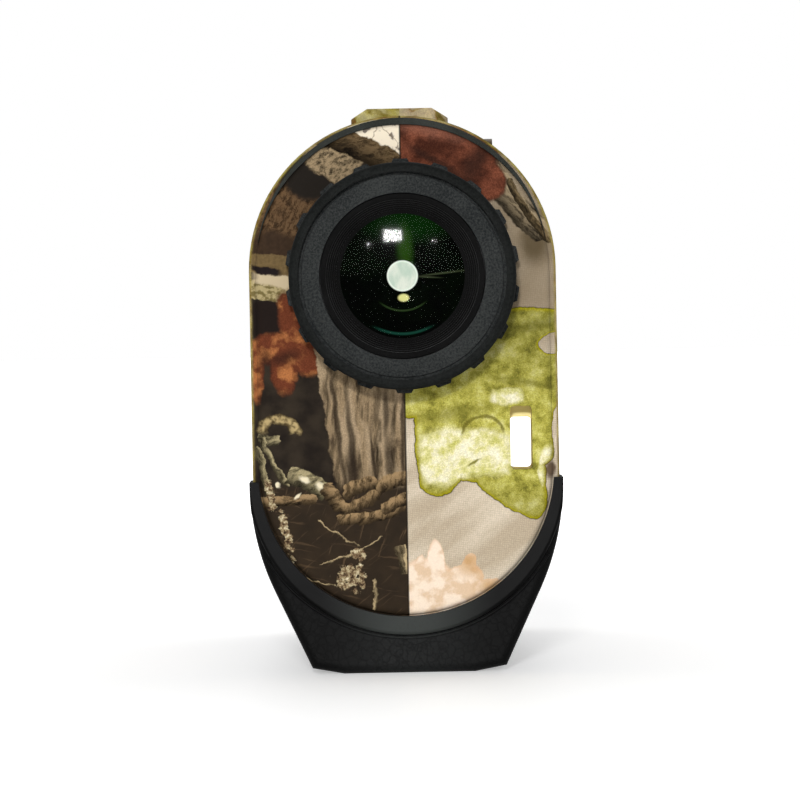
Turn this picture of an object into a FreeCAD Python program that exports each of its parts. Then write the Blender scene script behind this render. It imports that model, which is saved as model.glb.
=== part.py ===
import FreeCAD, Part
import math
import os
import re

import Sketcher

# A hand-held laser rangefinder. Millimetres. +X is the user's right, +Y is the way
# it looks and +Z is up. The origin is under the middle of the box, on the flat base.
# The eyepiece and the objective share the upper axis; the receiver has the lower one.

document = FreeCAD.newDocument("laser_rangefinder")
sheet = document.addObject("Spreadsheet::Sheet", "dims")

DIMENSIONS = {
    # the two optical axes and the stations along them
    "eye_height": 54.6, "beam_height": 20.0,
    "eyecup_face": -52.0, "panel_face": -41.6, "rim_face": -40.4, "wall_face": -38.6,
    "shell_front": 46.0, "bezel_front": 52.0,
    # outline of the casing, seen along the optical axes
    "body_radius": 21.1, "top_centre": 55.5, "side_arc_radius": 34.0, "side_arc_centre": 26.0,
    "taper_angle": 25.0, "base_flat": 9.0, "base_rise": 0.8,
    "wall": 1.8, "rim_round": 0.7, "panel_round": 1.0, "nose_round": 2.4, "thick_wall": 1.0,
    # how far a cutting solid runs past what it cuts, and the play round a seated part
    "overrun": 1.0, "seat_play": 0.05,
    # raised rear panel
    "panel_radius": 20.2, "panel_top_centre": 55.2, "panel_low_centre": 28.2,
    # finger grooves on both sides
    "groove_radius": 10.2, "groove_offset": 21.7, "groove_height": 32.5, "groove_end": -24.0,
    # strap slot
    "slot_width": 3.0, "slot_height": 8.7, "slot_offset": 15.9, "slot_centre": 32.1,
    "slot_corner": 0.6, "slot_wall": 1.3, "slot_ledge": 1.6, "slot_ledge_face": -36.5,
    # rubber grip
    "grip_proud": 0.45, "grip_round": 1.3, "grip_depth": 1.2, "grip_top": 26.6, "grip_rear": -41.0,
    "grip_floor": -39.6, "grip_front": 44.0, "grip_gap": 0.15,
    "lip_rear": -42.0, "lip_radius": 21.9, "lip_centre": 27.2, "lip_round": 0.45,
    # black band above the rear panel
    "band_radius": 20.0, "band_centre": 56.3, "band_rear": -41.2, "band_front": -39.0,
    # front bezel
    "bezel_inset": 0.6, "bezel_fit": 0.15, "spigot_rear": 42.5, "objective_port": 15.2,
    "receiver_port": 11.8, "port_flare": 1.4, "flare_depth": 2.0,
    # fixed eyepiece barrel
    "barrel_outer": 13.7, "barrel_inner": 11.3, "barrel_rear": -50.9, "barrel_front": -33.5,
    "barrel_flange": 17.0, "flange_rear": -38.4, "flange_front": -36.0, "barrel_gap": 0.2,
    # dioptre ring and its helical groove
    "ring_inner": 13.75, "ring_outer": 15.4, "ring_neck": 14.5, "ring_rear": -50.4,
    "ring_step": -46.6, "ring_front": -42.1, "lug_count": 18, "lug_proud": 0.6,
    "lug_width": 2.3, "lug_inset": 0.5, "lug_root": 0.5, "lug_spread": 0.4, "lug_taper": 0.2,
    "helix_pitch": 9.0, "helix_turn": 180.0,
    "helix_width": 1.6, "helix_depth": 0.95, "helix_overcut": 0.4,
    # rubber eyecup
    "cup_outer": 15.45, "cup_inner": 14.15, "cup_front": -46.9, "cup_seat": -50.7,
    "cup_round": 0.8,
    # sliding lens cell, its pin and the eyepiece lenses
    "cell_outer": 11.25, "cell_rear": -48.85, "cell_front": -37.6, "cell_bore": 9.4,
    "cell_mouth": 10.4, "cell_step": -46.6, "cell_stop": 8.4, "cell_stop_rear": -39.0,
    "pin_radius": 0.6, "pin_station": -45.2, "pin_inner": 10.5, "pin_outer": 14.4,
    "pin_slot_half": 2.3, "pin_slot_width": 1.5,
    "cone_outer": 11.2, "cone_rear": -50.1, "cone_throat": 8.5, "cone_mouth": 10.7,
    "cone_neck": 10.35, "cone_step": -48.9, "cone_front": -46.7, "cone_steps": 16,
    "eye_lens_radius": 9.35, "eye_lens_rear": -46.6, "eye_lens_front": -43.0,
    "eye_lens_curve": 60.0, "field_lens_rear": -41.8, "field_lens_front": -39.1,
    "field_lens_curve": 34.0, "spacer_inner": 8.5,
    # display at the focal plane
    "display_width": 15.0, "display_height": 15.0, "display_rear": -28.0, "display_thick": 1.2,
    "display_frame_edge": 2.2, "display_frame_thick": 3.0, "display_window": 6.2,
    # prisms and their holder
    "prism_centre": -9.0, "prism_length": 26.0, "prism_width": 16.0, "prism_half": 8.0,
    "prism_peak": 11.0, "prism_gap": 0.3, "prism_slope": 3.0, "holder_wall": 1.6,
    "holder_top": 12.6, "holder_window": 7.6,
    # objective
    "tube_outer": 14.6, "tube_rear": 5.0, "tube_step": 25.8, "tube_front": 33.8, "tube_bore_rear": 9.0,
    "tube_wall": 1.1, "objective_outer": 15.0, "objective_bore": 13.3, "objective_stop": 12.4,
    "objective_rear": 34.0, "objective_seat": 38.0, "objective_front": 49.5,
    "crown_front": 45.5, "cement_face": 41.2, "cement_peak": 39.2, "flint_rear": 38.4, "crown_curve": 46.0,
    "cement_curve": 52.0, "objective_ring_rear": 44.6, "objective_ring_front": 47.4,
    "objective_ring_bore": 12.5,
    "seal_major": 15.7, "seal_minor": 0.6, "seal_station": 43.6,
    # receiver
    "receiver_outer": 11.6, "receiver_bore": 10.1, "receiver_stop": 9.4,
    "receiver_rear": 30.0, "receiver_seat": 41.0, "receiver_front": 49.5,
    "receiver_lens_front": 46.0, "receiver_curve": 22.0, "receiver_ring_rear": 44.1,
    "receiver_ring_front": 47.6,
    "receiver_ring_bore": 9.3, "baffle_rear": 9.0, "baffle_throat": 5.2, "baffle_wall": 0.8,
    "baffle_mouth": 9.3, "baffle_front": 40.0,
    "sensor_radius": 4.6, "sensor_flange": 5.1, "sensor_rear": 4.2,
    "sensor_front": 8.6, "sensor_window": 3.0, "sensor_flange_thick": 0.5, "sensor_sunk": 0.4,
    # circuit boards
    "board_thick": 1.6, "receiver_board_rear": 2.4, "receiver_board_width": 18.0,
    "receiver_board_low": 8.5, "receiver_board_tall": 22.5,
    "main_board_rear": -6.6, "main_board_width": 23.0, "main_board_low": 6.0,
    "main_board_tall": 18.0, "chip_side": 7.0, "chip_thick": 1.0, "chip_aside": 5.0,
    "chip_rise": 6.0, "timer_side": 5.0, "timer_rise": 8.0, "coil_side": 4.0, "coil_aside": 4.5,
    "coil_rise": 1.5,
    "button_board_width": 11.0, "button_board_rear": -11.5, "button_board_length": 34.0,
    "button_board_low": 69.9, "button_board_thick": 0.8, "switch_side": 5.2,
    "switch_thick": 0.9, "plunger_radius": 1.1, "plunger_tall": 0.5,
    # laser emitter below the prisms
    "emitter_radius": 2.8, "emitter_flange": 3.2, "emitter_flange_thick": 0.8,
    "emitter_station": -3.0, "emitter_low": 37.4,
    "emitter_tall": 3.6, "emitter_block": 10.0, "emitter_block_low": 36.2,
    "emitter_block_tall": 7.4,
    # battery, its tube and the screw cap in the base
    "battery_station": -19.0, "battery_radius": 7.8, "battery_low": 2.95, "battery_tall": 27.0,
    "battery_nub_radius": 3.2, "battery_nub": 0.6,
    "tube_fit": 8.1, "battery_tube_outer": 9.2, "battery_tube_low": 2.35,
    "battery_tube_top": 33.4, "battery_tube_end": 0.8, "collar_outer": 10.9, "collar_top": 9.0,
    "thread_radius": 9.53, "thread_top": 6.4, "spring_radius": 5.2, "spring_wire": 0.3,
    "spring_turns": 2.0,
    "cap_radius": 10.2, "cap_low": 0.45, "cap_shoulder": 1.6, "cap_skirt": 9.45,
    "cap_skirt_inner": 8.15, "cap_top": 5.6, "cap_floor": 2.45, "cap_hole": 10.5,
    "coin_length": 14.0, "coin_width": 1.9, "coin_depth": 0.9,
    "cap_seal_major": 10.0, "cap_seal_minor": 0.33, "cap_seal_low": 1.975,
    "contact_radius": 7.0, "contact_thick": 0.4, "contact_gap": 0.05,
    # button island
    "island_half": 6.9, "island_top_half": 4.6, "island_low": 74.9, "island_edge": 77.0,
    "island_top": 78.4, "island_rear": -14.0, "island_front": 26.0, "island_round": 3.6,
    "button_half": 3.5, "button_gap": 0.3, "button_flange": 0.9, "button_low": 73.8,
    "button_seat": 74.6, "button_top": 78.2, "button_stem": 1.5, "stem_low": 73.2,
    "button_crown": 0.7, "fire_station": -3.0, "fire_length": 14.0, "mode_station": 14.5,
    "mode_length": 9.0, "window_half": 5.1, "window_inset": 2.0,
    # casing screws and their bosses
    "screw_radius": 1.0, "screw_head": 1.8, "screw_head_thick": 1.2, "screw_reach": -5.0,
    "boss_radius": 1.95, "boss_half": 7.0,
    "upper_head": 11.6, "lower_head": 10.6,
    "upper_screw_height": 71.6, "rear_screw": -31.6, "upper_front_screw": 37.0,
    "lower_screw_height": 5.2, "lower_rear_screw": -34.0, "lower_front_screw": 24.0,
}

for row, (alias, size) in enumerate(DIMENSIONS.items(), start=1):
    sheet.set("A%d" % row, alias.replace("_", " "))
    sheet.set("B%d" % row, str(size))
    sheet.setAlias("B%d" % row, alias)
document.recompute()


# ---- helpers: expressions, sketches and solids ----

def linked(expression):
    """Write an expression so that another object can read the sheet's cells."""
    def with_sheet(word):
        return "dims." + word.group() if word.group() in DIMENSIONS else word.group()
    return re.sub(r"[a-z_]+", with_sheet, expression)


def size_of(expression):
    """Work out an expression of the sheet's cells."""
    return float(sheet.evalExpression(expression))


def bind(thing, **sizes):
    for name, expression in sizes.items():
        thing.setExpression(name, linked(expression))


def place(thing, x="0", y="0", z="0"):
    for axis, expression in (("x", x), ("y", y), ("z", z)):
        thing.setExpression("Placement.Base." + axis, linked(expression))


def along_y(thing):
    thing.Placement.Rotation = FreeCAD.Rotation(FreeCAD.Vector(1, 0, 0), -90)


def along_x(thing):
    thing.Placement.Rotation = FreeCAD.Rotation(FreeCAD.Vector(0, 1, 0), 90)


def new_body(label):
    body = document.addObject("PartDesign::Body", label)
    body.Label = label
    return body


def sketch_on(body, name, role, offset="0"):
    sketch = body.newObject("Sketcher::SketchObject", name)
    planes = [plane for plane in body.Origin.OriginFeatures if plane.Role == role]
    sketch.AttachmentSupport = [(planes[0], "")]
    sketch.MapMode = "FlatFace"
    sketch.setExpression("AttachmentOffset.Base.z", linked(offset))
    return sketch


def bulge_point(start, end, radius, side):
    """A point halfway round the arc from start to end; side 1 bulges to the right."""
    chord = end - start
    half = chord.Length / 2
    sagitta = radius - math.sqrt(max(radius ** 2 - half ** 2, 0))
    across = FreeCAD.Vector(chord.y, -chord.x, 0).normalize()
    return (start + end) / 2 + across * sagitta * side


def outline(body, name, role, corners, offset="0"):
    """A closed outline. A corner is (x, y) before a line or (x, y, radius, side)
    before an arc that bulges to the right (side 1) or left (side -1)."""
    sketch = sketch_on(body, name, role, offset)
    points = [FreeCAD.Vector(size_of(corner[0]), size_of(corner[1]), 0) for corner in corners]
    count = len(corners)
    for index, corner in enumerate(corners):
        start = points[index]
        end = points[(index + 1) % count]
        if len(corner) == 2:
            sketch.addGeometry(Part.LineSegment(start, end), False)
        else:
            middle = bulge_point(start, end, size_of(corner[2]), corner[3])
            arc = Part.Arc(start, middle, end)
            sketch.addGeometry(arc, False)
    for index, corner in enumerate(corners):
        geometry = sketch.Geometry[index]
        following = (index + 1) % count
        start_end = 1 if (geometry.StartPoint - points[index]).Length < 1e-6 else 2
        after = sketch.Geometry[following]
        next_end = 1 if (after.StartPoint - points[following]).Length < 1e-6 else 2
        sketch.addConstraint(
            Sketcher.Constraint("Coincident", index, 3 - start_end, following, next_end))
        for kind, expression in (("DistanceX", corner[0]), ("DistanceY", corner[1])):
            number = sketch.addConstraint(Sketcher.Constraint(
                kind, -1, 1, index, start_end, size_of(expression)))
            sketch.setExpression("Constraints[%d]" % number, linked(expression))
        if len(corner) == 4:
            shape_arc(sketch, index, corner, (points[following] - points[index]).Length / 2)
    return sketch


def shape_arc(sketch, index, corner, half_chord):
    """Fix an arc between its ends: by its radius, or a half circle by its level centre."""
    if abs(size_of(corner[2]) - half_chord) < 1e-6:
        number = sketch.addConstraint(
            Sketcher.Constraint("DistanceY", -1, 1, index, 3, size_of(corner[1])))
        sketch.setExpression("Constraints[%d]" % number, linked(corner[1]))
    else:
        number = sketch.addConstraint(Sketcher.Constraint("Radius", index, size_of(corner[2])))
        sketch.setExpression("Constraints[%d]" % number, linked(corner[2]))


def circle(body, name, role, x, y, radius, offset="0"):
    sketch = sketch_on(body, name, role, offset)
    centre = FreeCAD.Vector(size_of(x), size_of(y), 0)
    sketch.addGeometry(Part.Circle(centre, FreeCAD.Vector(0, 0, 1), size_of(radius)), False)
    for constraint, expression in (
            (Sketcher.Constraint("DistanceX", -1, 1, 0, 3, centre.x), x),
            (Sketcher.Constraint("DistanceY", -1, 1, 0, 3, centre.y), y),
            (Sketcher.Constraint("Radius", 0, size_of(radius)), radius)):
        number = sketch.addConstraint(constraint)
        sketch.setExpression("Constraints[%d]" % number, linked(expression))
    return sketch


def pad(body, sketch, length, reverse=True):
    feature = body.newObject("PartDesign::Pad", sketch.Name + "_pad")
    feature.Profile = sketch
    feature.Reversed = reverse
    feature.setExpression("Length", linked(length))
    return feature


def pocket(body, sketch, length):
    feature = body.newObject("PartDesign::Pocket", sketch.Name + "_pocket")
    feature.Profile = sketch
    feature.setExpression("Length", linked(length))
    return feature


def prism_along_y(label, corners, rear, front):
    """A solid with one outline in X and Z, from the rear station to the front one."""
    body = new_body(label)
    sketch = outline(body, label + "_outline", "XZ_Plane", corners, "-(%s)" % rear)
    pad(body, sketch, "(%s) - (%s)" % (front, rear))
    return body


def turned(label, corners, height="0", station="0", upright=False):
    """A solid of revolution. Corners are (radius, station) about an axis along +Y at
    the given height, or (radius, height) about an upright axis at the given station."""
    body = new_body(label)
    role = "XZ_Plane" if upright else "XY_Plane"
    sketch = outline(body, label + "_profile", role, corners)
    feature = body.newObject("PartDesign::Revolution", label + "_turn")
    feature.Profile = sketch
    feature.ReferenceAxis = (sketch, ["V_Axis"])
    feature.Angle = 360
    place(body, y=station, z=height)
    return body


def ring(label, inner, outer, rear, front, height):
    corners = [(inner, rear), (outer, rear), (outer, front), (inner, front)]
    return turned(label, corners, height)


def block(label, width, length, tall, x, y, z):
    box = document.addObject("Part::Box", label)
    box.Label = label
    bind(box, Width=length, Length=width, Height=tall)
    place(box, x, y, z)
    return box


def cylinder(label, radius, length, x="0", y="0", z="0", turn=None):
    rod = document.addObject("Part::Cylinder", label)
    rod.Label = label
    bind(rod, Radius=radius, Height=length)
    if turn:
        turn(rod)
    place(rod, x, y, z)
    return rod


def ball(label, radius, x="0", y="0", z="0"):
    sphere = document.addObject("Part::Sphere", label)
    sphere.Label = label
    bind(sphere, Radius=radius)
    place(sphere, x, y, z)
    return sphere


def fused(label, shapes):
    result = document.addObject("Part::MultiFuse", label)
    result.Shapes = shapes
    result.Label = label
    return result


def shared(label, shapes):
    result = document.addObject("Part::MultiCommon", label)
    result.Shapes = shapes
    result.Label = label
    return result


def cut(label, base, tool):
    result = document.addObject("Part::Cut", label)
    result.Base = base
    result.Tool = tool
    result.Label = label
    return result


def group(label, solids):
    result = document.addObject("Part::Compound", label)
    result.Links = solids
    result.Label = label
    return result


def round_edges(body, name, radius, wanted):
    """Fillet the edges of a body's tip that the test picks out."""
    document.recompute()
    tip = body.Tip
    names = ["Edge%d" % (index + 1) for index, edge in enumerate(tip.Shape.Edges) if wanted(edge)]
    feature = body.newObject("PartDesign::Fillet", name)
    feature.Base = (tip, names)
    feature.setExpression("Radius", linked(radius))
    return feature


def lies_at(axis, expression):
    """A test for edges that lie wholly in one plane across an axis."""
    level = size_of(expression)

    def test(edge):
        box = edge.BoundBox
        low = getattr(box, axis + "Min")
        high = getattr(box, axis + "Max")
        return abs(low - level) < 1e-4 and abs(high - level) < 1e-4
    return test


# ---- outlines shared by the casing, the grip and the bezel ----

def casing_corners(inset):
    """The casing's outline: a round top, sides that curve in, straight tapers and a
    flat base with slightly raised edges. Inset moves it inwards."""
    radius = "(body_radius - %s)" % inset
    side = "(side_arc_radius - %s)" % inset
    centre = "(body_radius - side_arc_radius)"
    taper_x = "(%s + %s * cos(taper_angle * 1deg))" % (centre, side)
    taper_z = "(side_arc_centre - %s * sin(taper_angle * 1deg))" % side
    corner_z = "(grip_proud + base_rise + %s)" % inset
    corner_x = "(%s - (%s - %s) * tan(taper_angle * 1deg))" % (taper_x, taper_z, corner_z)
    base_z = "(grip_proud + %s)" % inset
    right = [(radius, "side_arc_centre"), (radius, "top_centre", radius, 1)]
    left = [("-" + radius, "top_centre"),
            ("-" + radius, "side_arc_centre", side, 1),
            ("-" + taper_x, taper_z), ("-" + corner_x, corner_z), ("-base_flat", base_z)]
    return left + [("base_flat", base_z), (corner_x, corner_z), (taper_x, taper_z, side, 1)] + right


def panel_corners(outset):
    radius = "(panel_radius + %s)" % outset
    return [("-" + radius, "panel_low_centre", radius, 1), (radius, "panel_low_centre"),
            (radius, "panel_top_centre", radius, 1), ("-" + radius, "panel_top_centre")]


# ---- casing, grip and front bezel ----

def finger_grooves(label, extra):
    """Two round grooves along the sides, closed by a ball at the strap bar."""
    radius = "groove_radius + " + extra
    parts = []
    for side, sign in (("left", "-"), ("right", "")):
        name = "%s_%s" % (label, side)
        x = sign + "groove_offset"
        length = "bezel_front - groove_end + wall"
        parts.append(cylinder(name + "_bar", radius, length, x, "groove_end", "groove_height", along_y))
        parts.append(ball(name + "_end", radius, x, "groove_end", "groove_height"))
    return fused(label, parts)


def slot_prism(label, extra, drop, rear, front):
    """A rounded upright slot; drop lowers its top edge and extra widens it all round."""
    half = "(slot_width / 2 + %s)" % extra
    tall = "(slot_height / 2 + %s)" % extra
    corner = "(slot_corner + %s)" % extra
    left = "(slot_offset - %s)" % half
    right = "(slot_offset + %s)" % half
    low = "(slot_centre - %s)" % tall
    high = "(slot_centre + %s - %s)" % (tall, drop)
    corners = [
        (left + " + " + corner, low), (right + " - " + corner, low, corner, 1),
        (right, low + " + " + corner), (right, high + " - " + corner, corner, 1),
        (right + " - " + corner, high), (left + " + " + corner, high, corner, 1),
        (left, high + " - " + corner), (left, low + " + " + corner, corner, 1)]
    return prism_along_y(label, corners, rear, front)


def strap_slot():
    """The strap's way through: tall at the rear, with a ledge that lowers its top inside."""
    return fused("strap_slot", [
        slot_prism("slot_mouth", "0", "0", "eyecup_face", "slot_ledge_face"),
        slot_prism("slot_throat", "0", "slot_ledge", "panel_face", "groove_end")])


def trim_band():
    body = new_body("trim_band")
    disc = circle(body, "band_disc", "XZ_Plane", "0", "band_centre", "band_radius", "-(band_rear)")
    pad(body, disc, "band_front - band_rear")
    inner = outline(body, "band_inner", "XZ_Plane", panel_corners("0"), "-(band_rear)")
    pocket(body, inner, "band_front - band_rear")
    return body


def rubber_grip(slot, grooves):
    block_body = new_body("grip_block")
    shape = outline(block_body, "grip_outline", "XZ_Plane", casing_corners("(-grip_proud)"),
                    "-(grip_rear)")
    pad(block_body, shape, "grip_front - grip_rear")
    round_edges(block_body, "grip_rear_fillet", "grip_round", lies_at("Y", "grip_rear"))
    lip_disc = new_body("grip_lip_disc")
    disc = circle(lip_disc, "lip_disc", "XZ_Plane", "0", "lip_centre", "lip_radius", "-(lip_rear)")
    pad(lip_disc, disc, "grip_floor - lip_rear")
    round_edges(lip_disc, "lip_fillet", "lip_round", lies_at("Y", "lip_rear"))
    lip_block = prism_along_y("grip_lip_block", casing_corners("(-grip_proud)"), "lip_rear", "grip_floor")
    lip = shared("grip_lip", [lip_disc, lip_block])
    whole = fused("grip_whole", [block_body, lip])
    below = block("grip_below", "4 * body_radius", "2 * bezel_front", "grip_top + wall",
                  "-2 * body_radius", "-bezel_front", "-wall")
    lower = shared("grip_lower", [whole, below])
    core = prism_along_y("grip_core", casing_corners("grip_depth"), "grip_floor", "bezel_front")
    panel = prism_along_y("grip_panel_gap", panel_corners("grip_gap"), "eyecup_face",
                          "grip_floor + overrun")
    return cut("grip_sleeve", lower, fused("grip_inside", [core, panel, slot, grooves]))


def battery_hole(label, radius):
    return cylinder(label, radius, "collar_top", "0", "battery_station", "-wall")


def casing_block():
    body = new_body("casing_block")
    rim = outline(body, "casing_outline", "XZ_Plane", casing_corners("0"), "-(rim_face)")
    pad(body, rim, "shell_front - rim_face")
    round_edges(body, "rim_fillet", "rim_round", lies_at("Y", "rim_face"))
    panel = outline(body, "panel_outline", "XZ_Plane", panel_corners("0"), "-(panel_face)")
    pad(body, panel, "rim_face - panel_face + rim_round")
    round_edges(body, "panel_fillet", "panel_round", lies_at("Y", "panel_face"))
    return body


def casing_cavity():
    """The space inside, kept clear of the finger grooves and the strap slot."""
    upper = prism_along_y("cavity_upper", casing_corners("wall"), "wall_face", "shell_front + overrun")
    low_inset = "(grip_depth + wall)"
    lower = prism_along_y("cavity_lower", casing_corners(low_inset), "wall_face + thick_wall",
                          "shell_front + overrun")
    split = block("cavity_split", "4 * body_radius", "2 * bezel_front", "body_radius * 4",
                  "-2 * body_radius", "-bezel_front", "grip_top + wall")
    space = fused("cavity_space", [shared("cavity_top_half", [upper, split]), lower])
    walls = fused("cavity_walls", [finger_grooves("groove_wall", "wall"),
                                   slot_prism("slot_block", "slot_wall", "0", "eyecup_face", "groove_end")])
    return cut("cavity", space, walls)


def screw_places():
    return [("upper_rear", "rear_screw", "upper_screw_height", "upper_head"),
            ("upper_front", "upper_front_screw", "upper_screw_height", "upper_head"),
            ("lower_rear", "lower_rear_screw", "lower_screw_height", "lower_head"),
            ("lower_front", "lower_front_screw", "lower_screw_height", "lower_head")]


def casing_screw(name, station, height, head, head_length):
    """A screw across the casing: its head sinks in the right shell."""
    shank = cylinder(name + "_shank", "screw_radius", "(%s) - screw_reach" % head,
                     "screw_reach", station, height, along_x)
    cap = cylinder(name + "_head", "screw_head", head_length, head, station, height, along_x)
    return fused(name, [shank, cap])


def casing_shells(grip, band, slot, grooves):
    screws = [casing_screw("screw_" + name, station, height, head, "screw_head_thick")
              for name, station, height, head in screw_places()]
    screw_holes = [casing_screw("hole_" + name, station, height, head, "body_radius")
                   for name, station, height, head in screw_places()]
    bosses = [cylinder("boss_" + name, "boss_radius", "2 * boss_half", "-boss_half", station, height,
                       along_x) for name, station, height, head in screw_places()]
    hollow = cut("casing_hollow", casing_block(), fused("casing_spaces", [casing_cavity(), grooves, slot]))
    bossed = fused("casing_bossed", [hollow] + bosses)
    barrel_hole = cylinder("barrel_hole", "barrel_outer + barrel_gap", "flange_front - panel_face", "0",
                           "panel_face - overrun", "eye_height", along_y)
    flange_seat = cylinder("flange_seat", "barrel_flange + seat_play", "flange_front - flange_rear", "0",
                           "flange_rear", "eye_height", along_y)
    island_seat = block("island_seat", "2 * island_half", "island_front - island_rear", "wall * 4",
                        "-island_half", "island_rear", "island_low")
    window = block("button_window", "2 * window_half",
                   "island_front - island_rear - 2 * window_inset", "wall * 6",
                   "-window_half", "island_rear + window_inset", "island_low - wall * 2")
    tools = [grip, band, barrel_hole, flange_seat, island_seat, window,
             battery_hole("floor_hole", "collar_outer + seat_play")] + screw_holes
    casing = cut("casing", bossed, fused("casing_openings", tools))
    halves = []
    for label, corner in (("left_shell", "-3 * body_radius"), ("right_shell", "0")):
        half = block(label + "_half", "3 * body_radius", "3 * bezel_front", "5 * body_radius", corner,
                     "-1.5 * bezel_front", "-wall")
        halves.append(shared(label, [casing, half]))
    return halves, group("shell_screws", screws)


def front_bezel(grooves):
    plate = new_body("bezel_plate")
    shape = outline(plate, "bezel_outline", "XZ_Plane", casing_corners("bezel_inset"), "-(shell_front)")
    pad(plate, shape, "bezel_front - shell_front")
    round_edges(plate, "bezel_fillet", "nose_round", lies_at("Y", "bezel_front"))
    spigot = prism_along_y("bezel_spigot", casing_corners("(grip_depth + wall + bezel_fit)"),
                           "spigot_rear", "shell_front")
    clear = finger_grooves("bezel_groove_wall", "wall + bezel_fit")
    whole = fused("bezel_whole", [cut("bezel_plate_cut", plate, grooves),
                                  cut("bezel_spigot_cut", spigot, clear)])
    ports = []
    for name, radius, height in (("objective", "objective_port", "eye_height"),
                                 ("receiver", "receiver_port", "beam_height")):
        ports.append(cylinder(name + "_port", radius, "bezel_front", "0", "spigot_rear - overrun",
                              height, along_y))
        flare = document.addObject("Part::Cone", name + "_flare")
        bind(flare, Radius1=radius, Radius2=radius + " + port_flare", Height="flare_depth")
        along_y(flare)
        place(flare, "0", "bezel_front - flare_depth", height)
        ports.append(flare)
    ports.append(cylinder("seal_groove", "seal_major + seal_minor", "2 * seal_minor", "0",
                          "seal_station - seal_minor", "eye_height", along_y))
    return cut("front_bezel", whole, fused("bezel_ports", ports))


# ---- eyepiece ----

def eyepiece_barrel():
    tube = turned("barrel_tube", [
        ("barrel_inner", "barrel_rear"), ("barrel_outer", "barrel_rear"),
        ("barrel_outer", "flange_rear"), ("barrel_flange", "flange_rear"),
        ("barrel_flange", "flange_front"), ("barrel_outer", "flange_front"),
        ("barrel_outer", "barrel_front"), ("barrel_inner", "barrel_front")], "eye_height")
    slot = block("barrel_slot", "pin_slot_width", "2 * pin_slot_half", "barrel_outer",
                 "-pin_slot_width / 2", "pin_station - pin_slot_half", "eye_height")
    return cut("eyepiece_barrel", tube, slot)


def finger_lugs(body):
    """Trapezoid lugs round the ring's outside, one of them at the top."""
    root = "(ring_outer - lug_root)"
    crest = "(ring_outer + lug_proud)"
    lug = outline(body, "lug_outline", "XZ_Plane", [
        ("-lug_width / 2 - lug_spread", root), ("lug_width / 2 + lug_spread", root),
        ("lug_width / 2 - lug_taper", crest), ("-lug_width / 2 + lug_taper", crest)],
                  "-(ring_step + lug_inset)")
    first = pad(body, lug, "ring_front - ring_step - 2 * lug_inset")
    pattern = body.newObject("PartDesign::PolarPattern", "lug_pattern")
    pattern.Originals = [first]
    axes = [axis for axis in body.Origin.OriginFeatures if axis.Role == "Y_Axis"]
    pattern.Axis = (axes[0], [""])
    pattern.Angle = 360
    bind(pattern, Occurrences="lug_count")
    body.Tip = pattern


def diopter_ring():
    """A ring with finger lugs; its inner helical groove drives the lens cell's pin."""
    body = new_body("diopter_ring")
    profile = outline(body, "ring_profile", "XY_Plane", [
        ("ring_inner", "ring_rear"), ("ring_neck", "ring_rear"), ("ring_neck", "ring_step"),
        ("ring_outer", "ring_step"), ("ring_outer", "ring_front"), ("ring_inner", "ring_front")])
    turn = body.newObject("PartDesign::Revolution", "ring_turn")
    turn.Profile = profile
    turn.ReferenceAxis = (profile, ["V_Axis"])
    turn.Angle = 360
    finger_lugs(body)
    start = "(pin_station - helix_pitch * helix_turn / 720)"
    floor = "-(ring_inner + helix_depth)"
    mouth = "-(ring_inner - helix_overcut)"
    groove = outline(body, "helix_profile", "XY_Plane", [
        (floor, start + " - helix_width / 2"), (mouth, start + " - helix_width / 2"),
        (mouth, start + " + helix_width / 2"), (floor, start + " + helix_width / 2")])
    helix = body.newObject("PartDesign::SubtractiveHelix", "ring_helix")
    helix.Profile = groove
    helix.ReferenceAxis = (groove, ["V_Axis"])
    helix.Mode = 0
    bind(helix, Pitch="helix_pitch", Height="helix_pitch * helix_turn / 360")
    place(body, z="eye_height")
    return body


def eyecup():
    return turned("eyecup", [
        ("cup_inner", "eyecup_face"), ("cup_outer - cup_round", "eyecup_face", "cup_round", 1),
        ("cup_outer", "eyecup_face + cup_round"), ("cup_outer", "cup_front"),
        ("ring_neck", "cup_front"), ("ring_neck", "cup_seat"), ("cup_inner", "cup_seat")], "eye_height")


def lens(label, radius, rear, front, rear_curve, front_curve, height):
    """A round lens between two faces; a curve of None leaves that face flat."""
    parts = [cylinder(label + "_disc", radius, "(%s) - (%s)" % (front, rear), "0", rear, height, along_y)]
    if rear_curve:
        parts.append(ball(label + "_rear", rear_curve, "0", "%s + %s" % (rear, rear_curve), height))
    if front_curve:
        parts.append(ball(label + "_front", front_curve, "0", "%s - %s" % (front, front_curve), height))
    return shared(label, parts)


def lens_cell():
    tube = turned("cell_tube", [
        ("cell_mouth", "cell_rear"), ("cell_outer", "cell_rear"), ("cell_outer", "cell_front"),
        ("cell_stop", "cell_front"), ("cell_stop", "cell_stop_rear"), ("cell_bore", "cell_stop_rear"),
        ("cell_bore", "cell_step"), ("cell_mouth", "cell_step")], "eye_height")
    hole = cylinder("cell_pin_hole", "pin_radius", "pin_outer - pin_inner", "0", "pin_station",
                    "eye_height + pin_inner")
    return cut("lens_cell", tube, hole)


def cell_pin():
    return cylinder("cell_pin", "pin_radius", "pin_outer - pin_inner", "0", "pin_station",
                    "eye_height + pin_inner")


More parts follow.
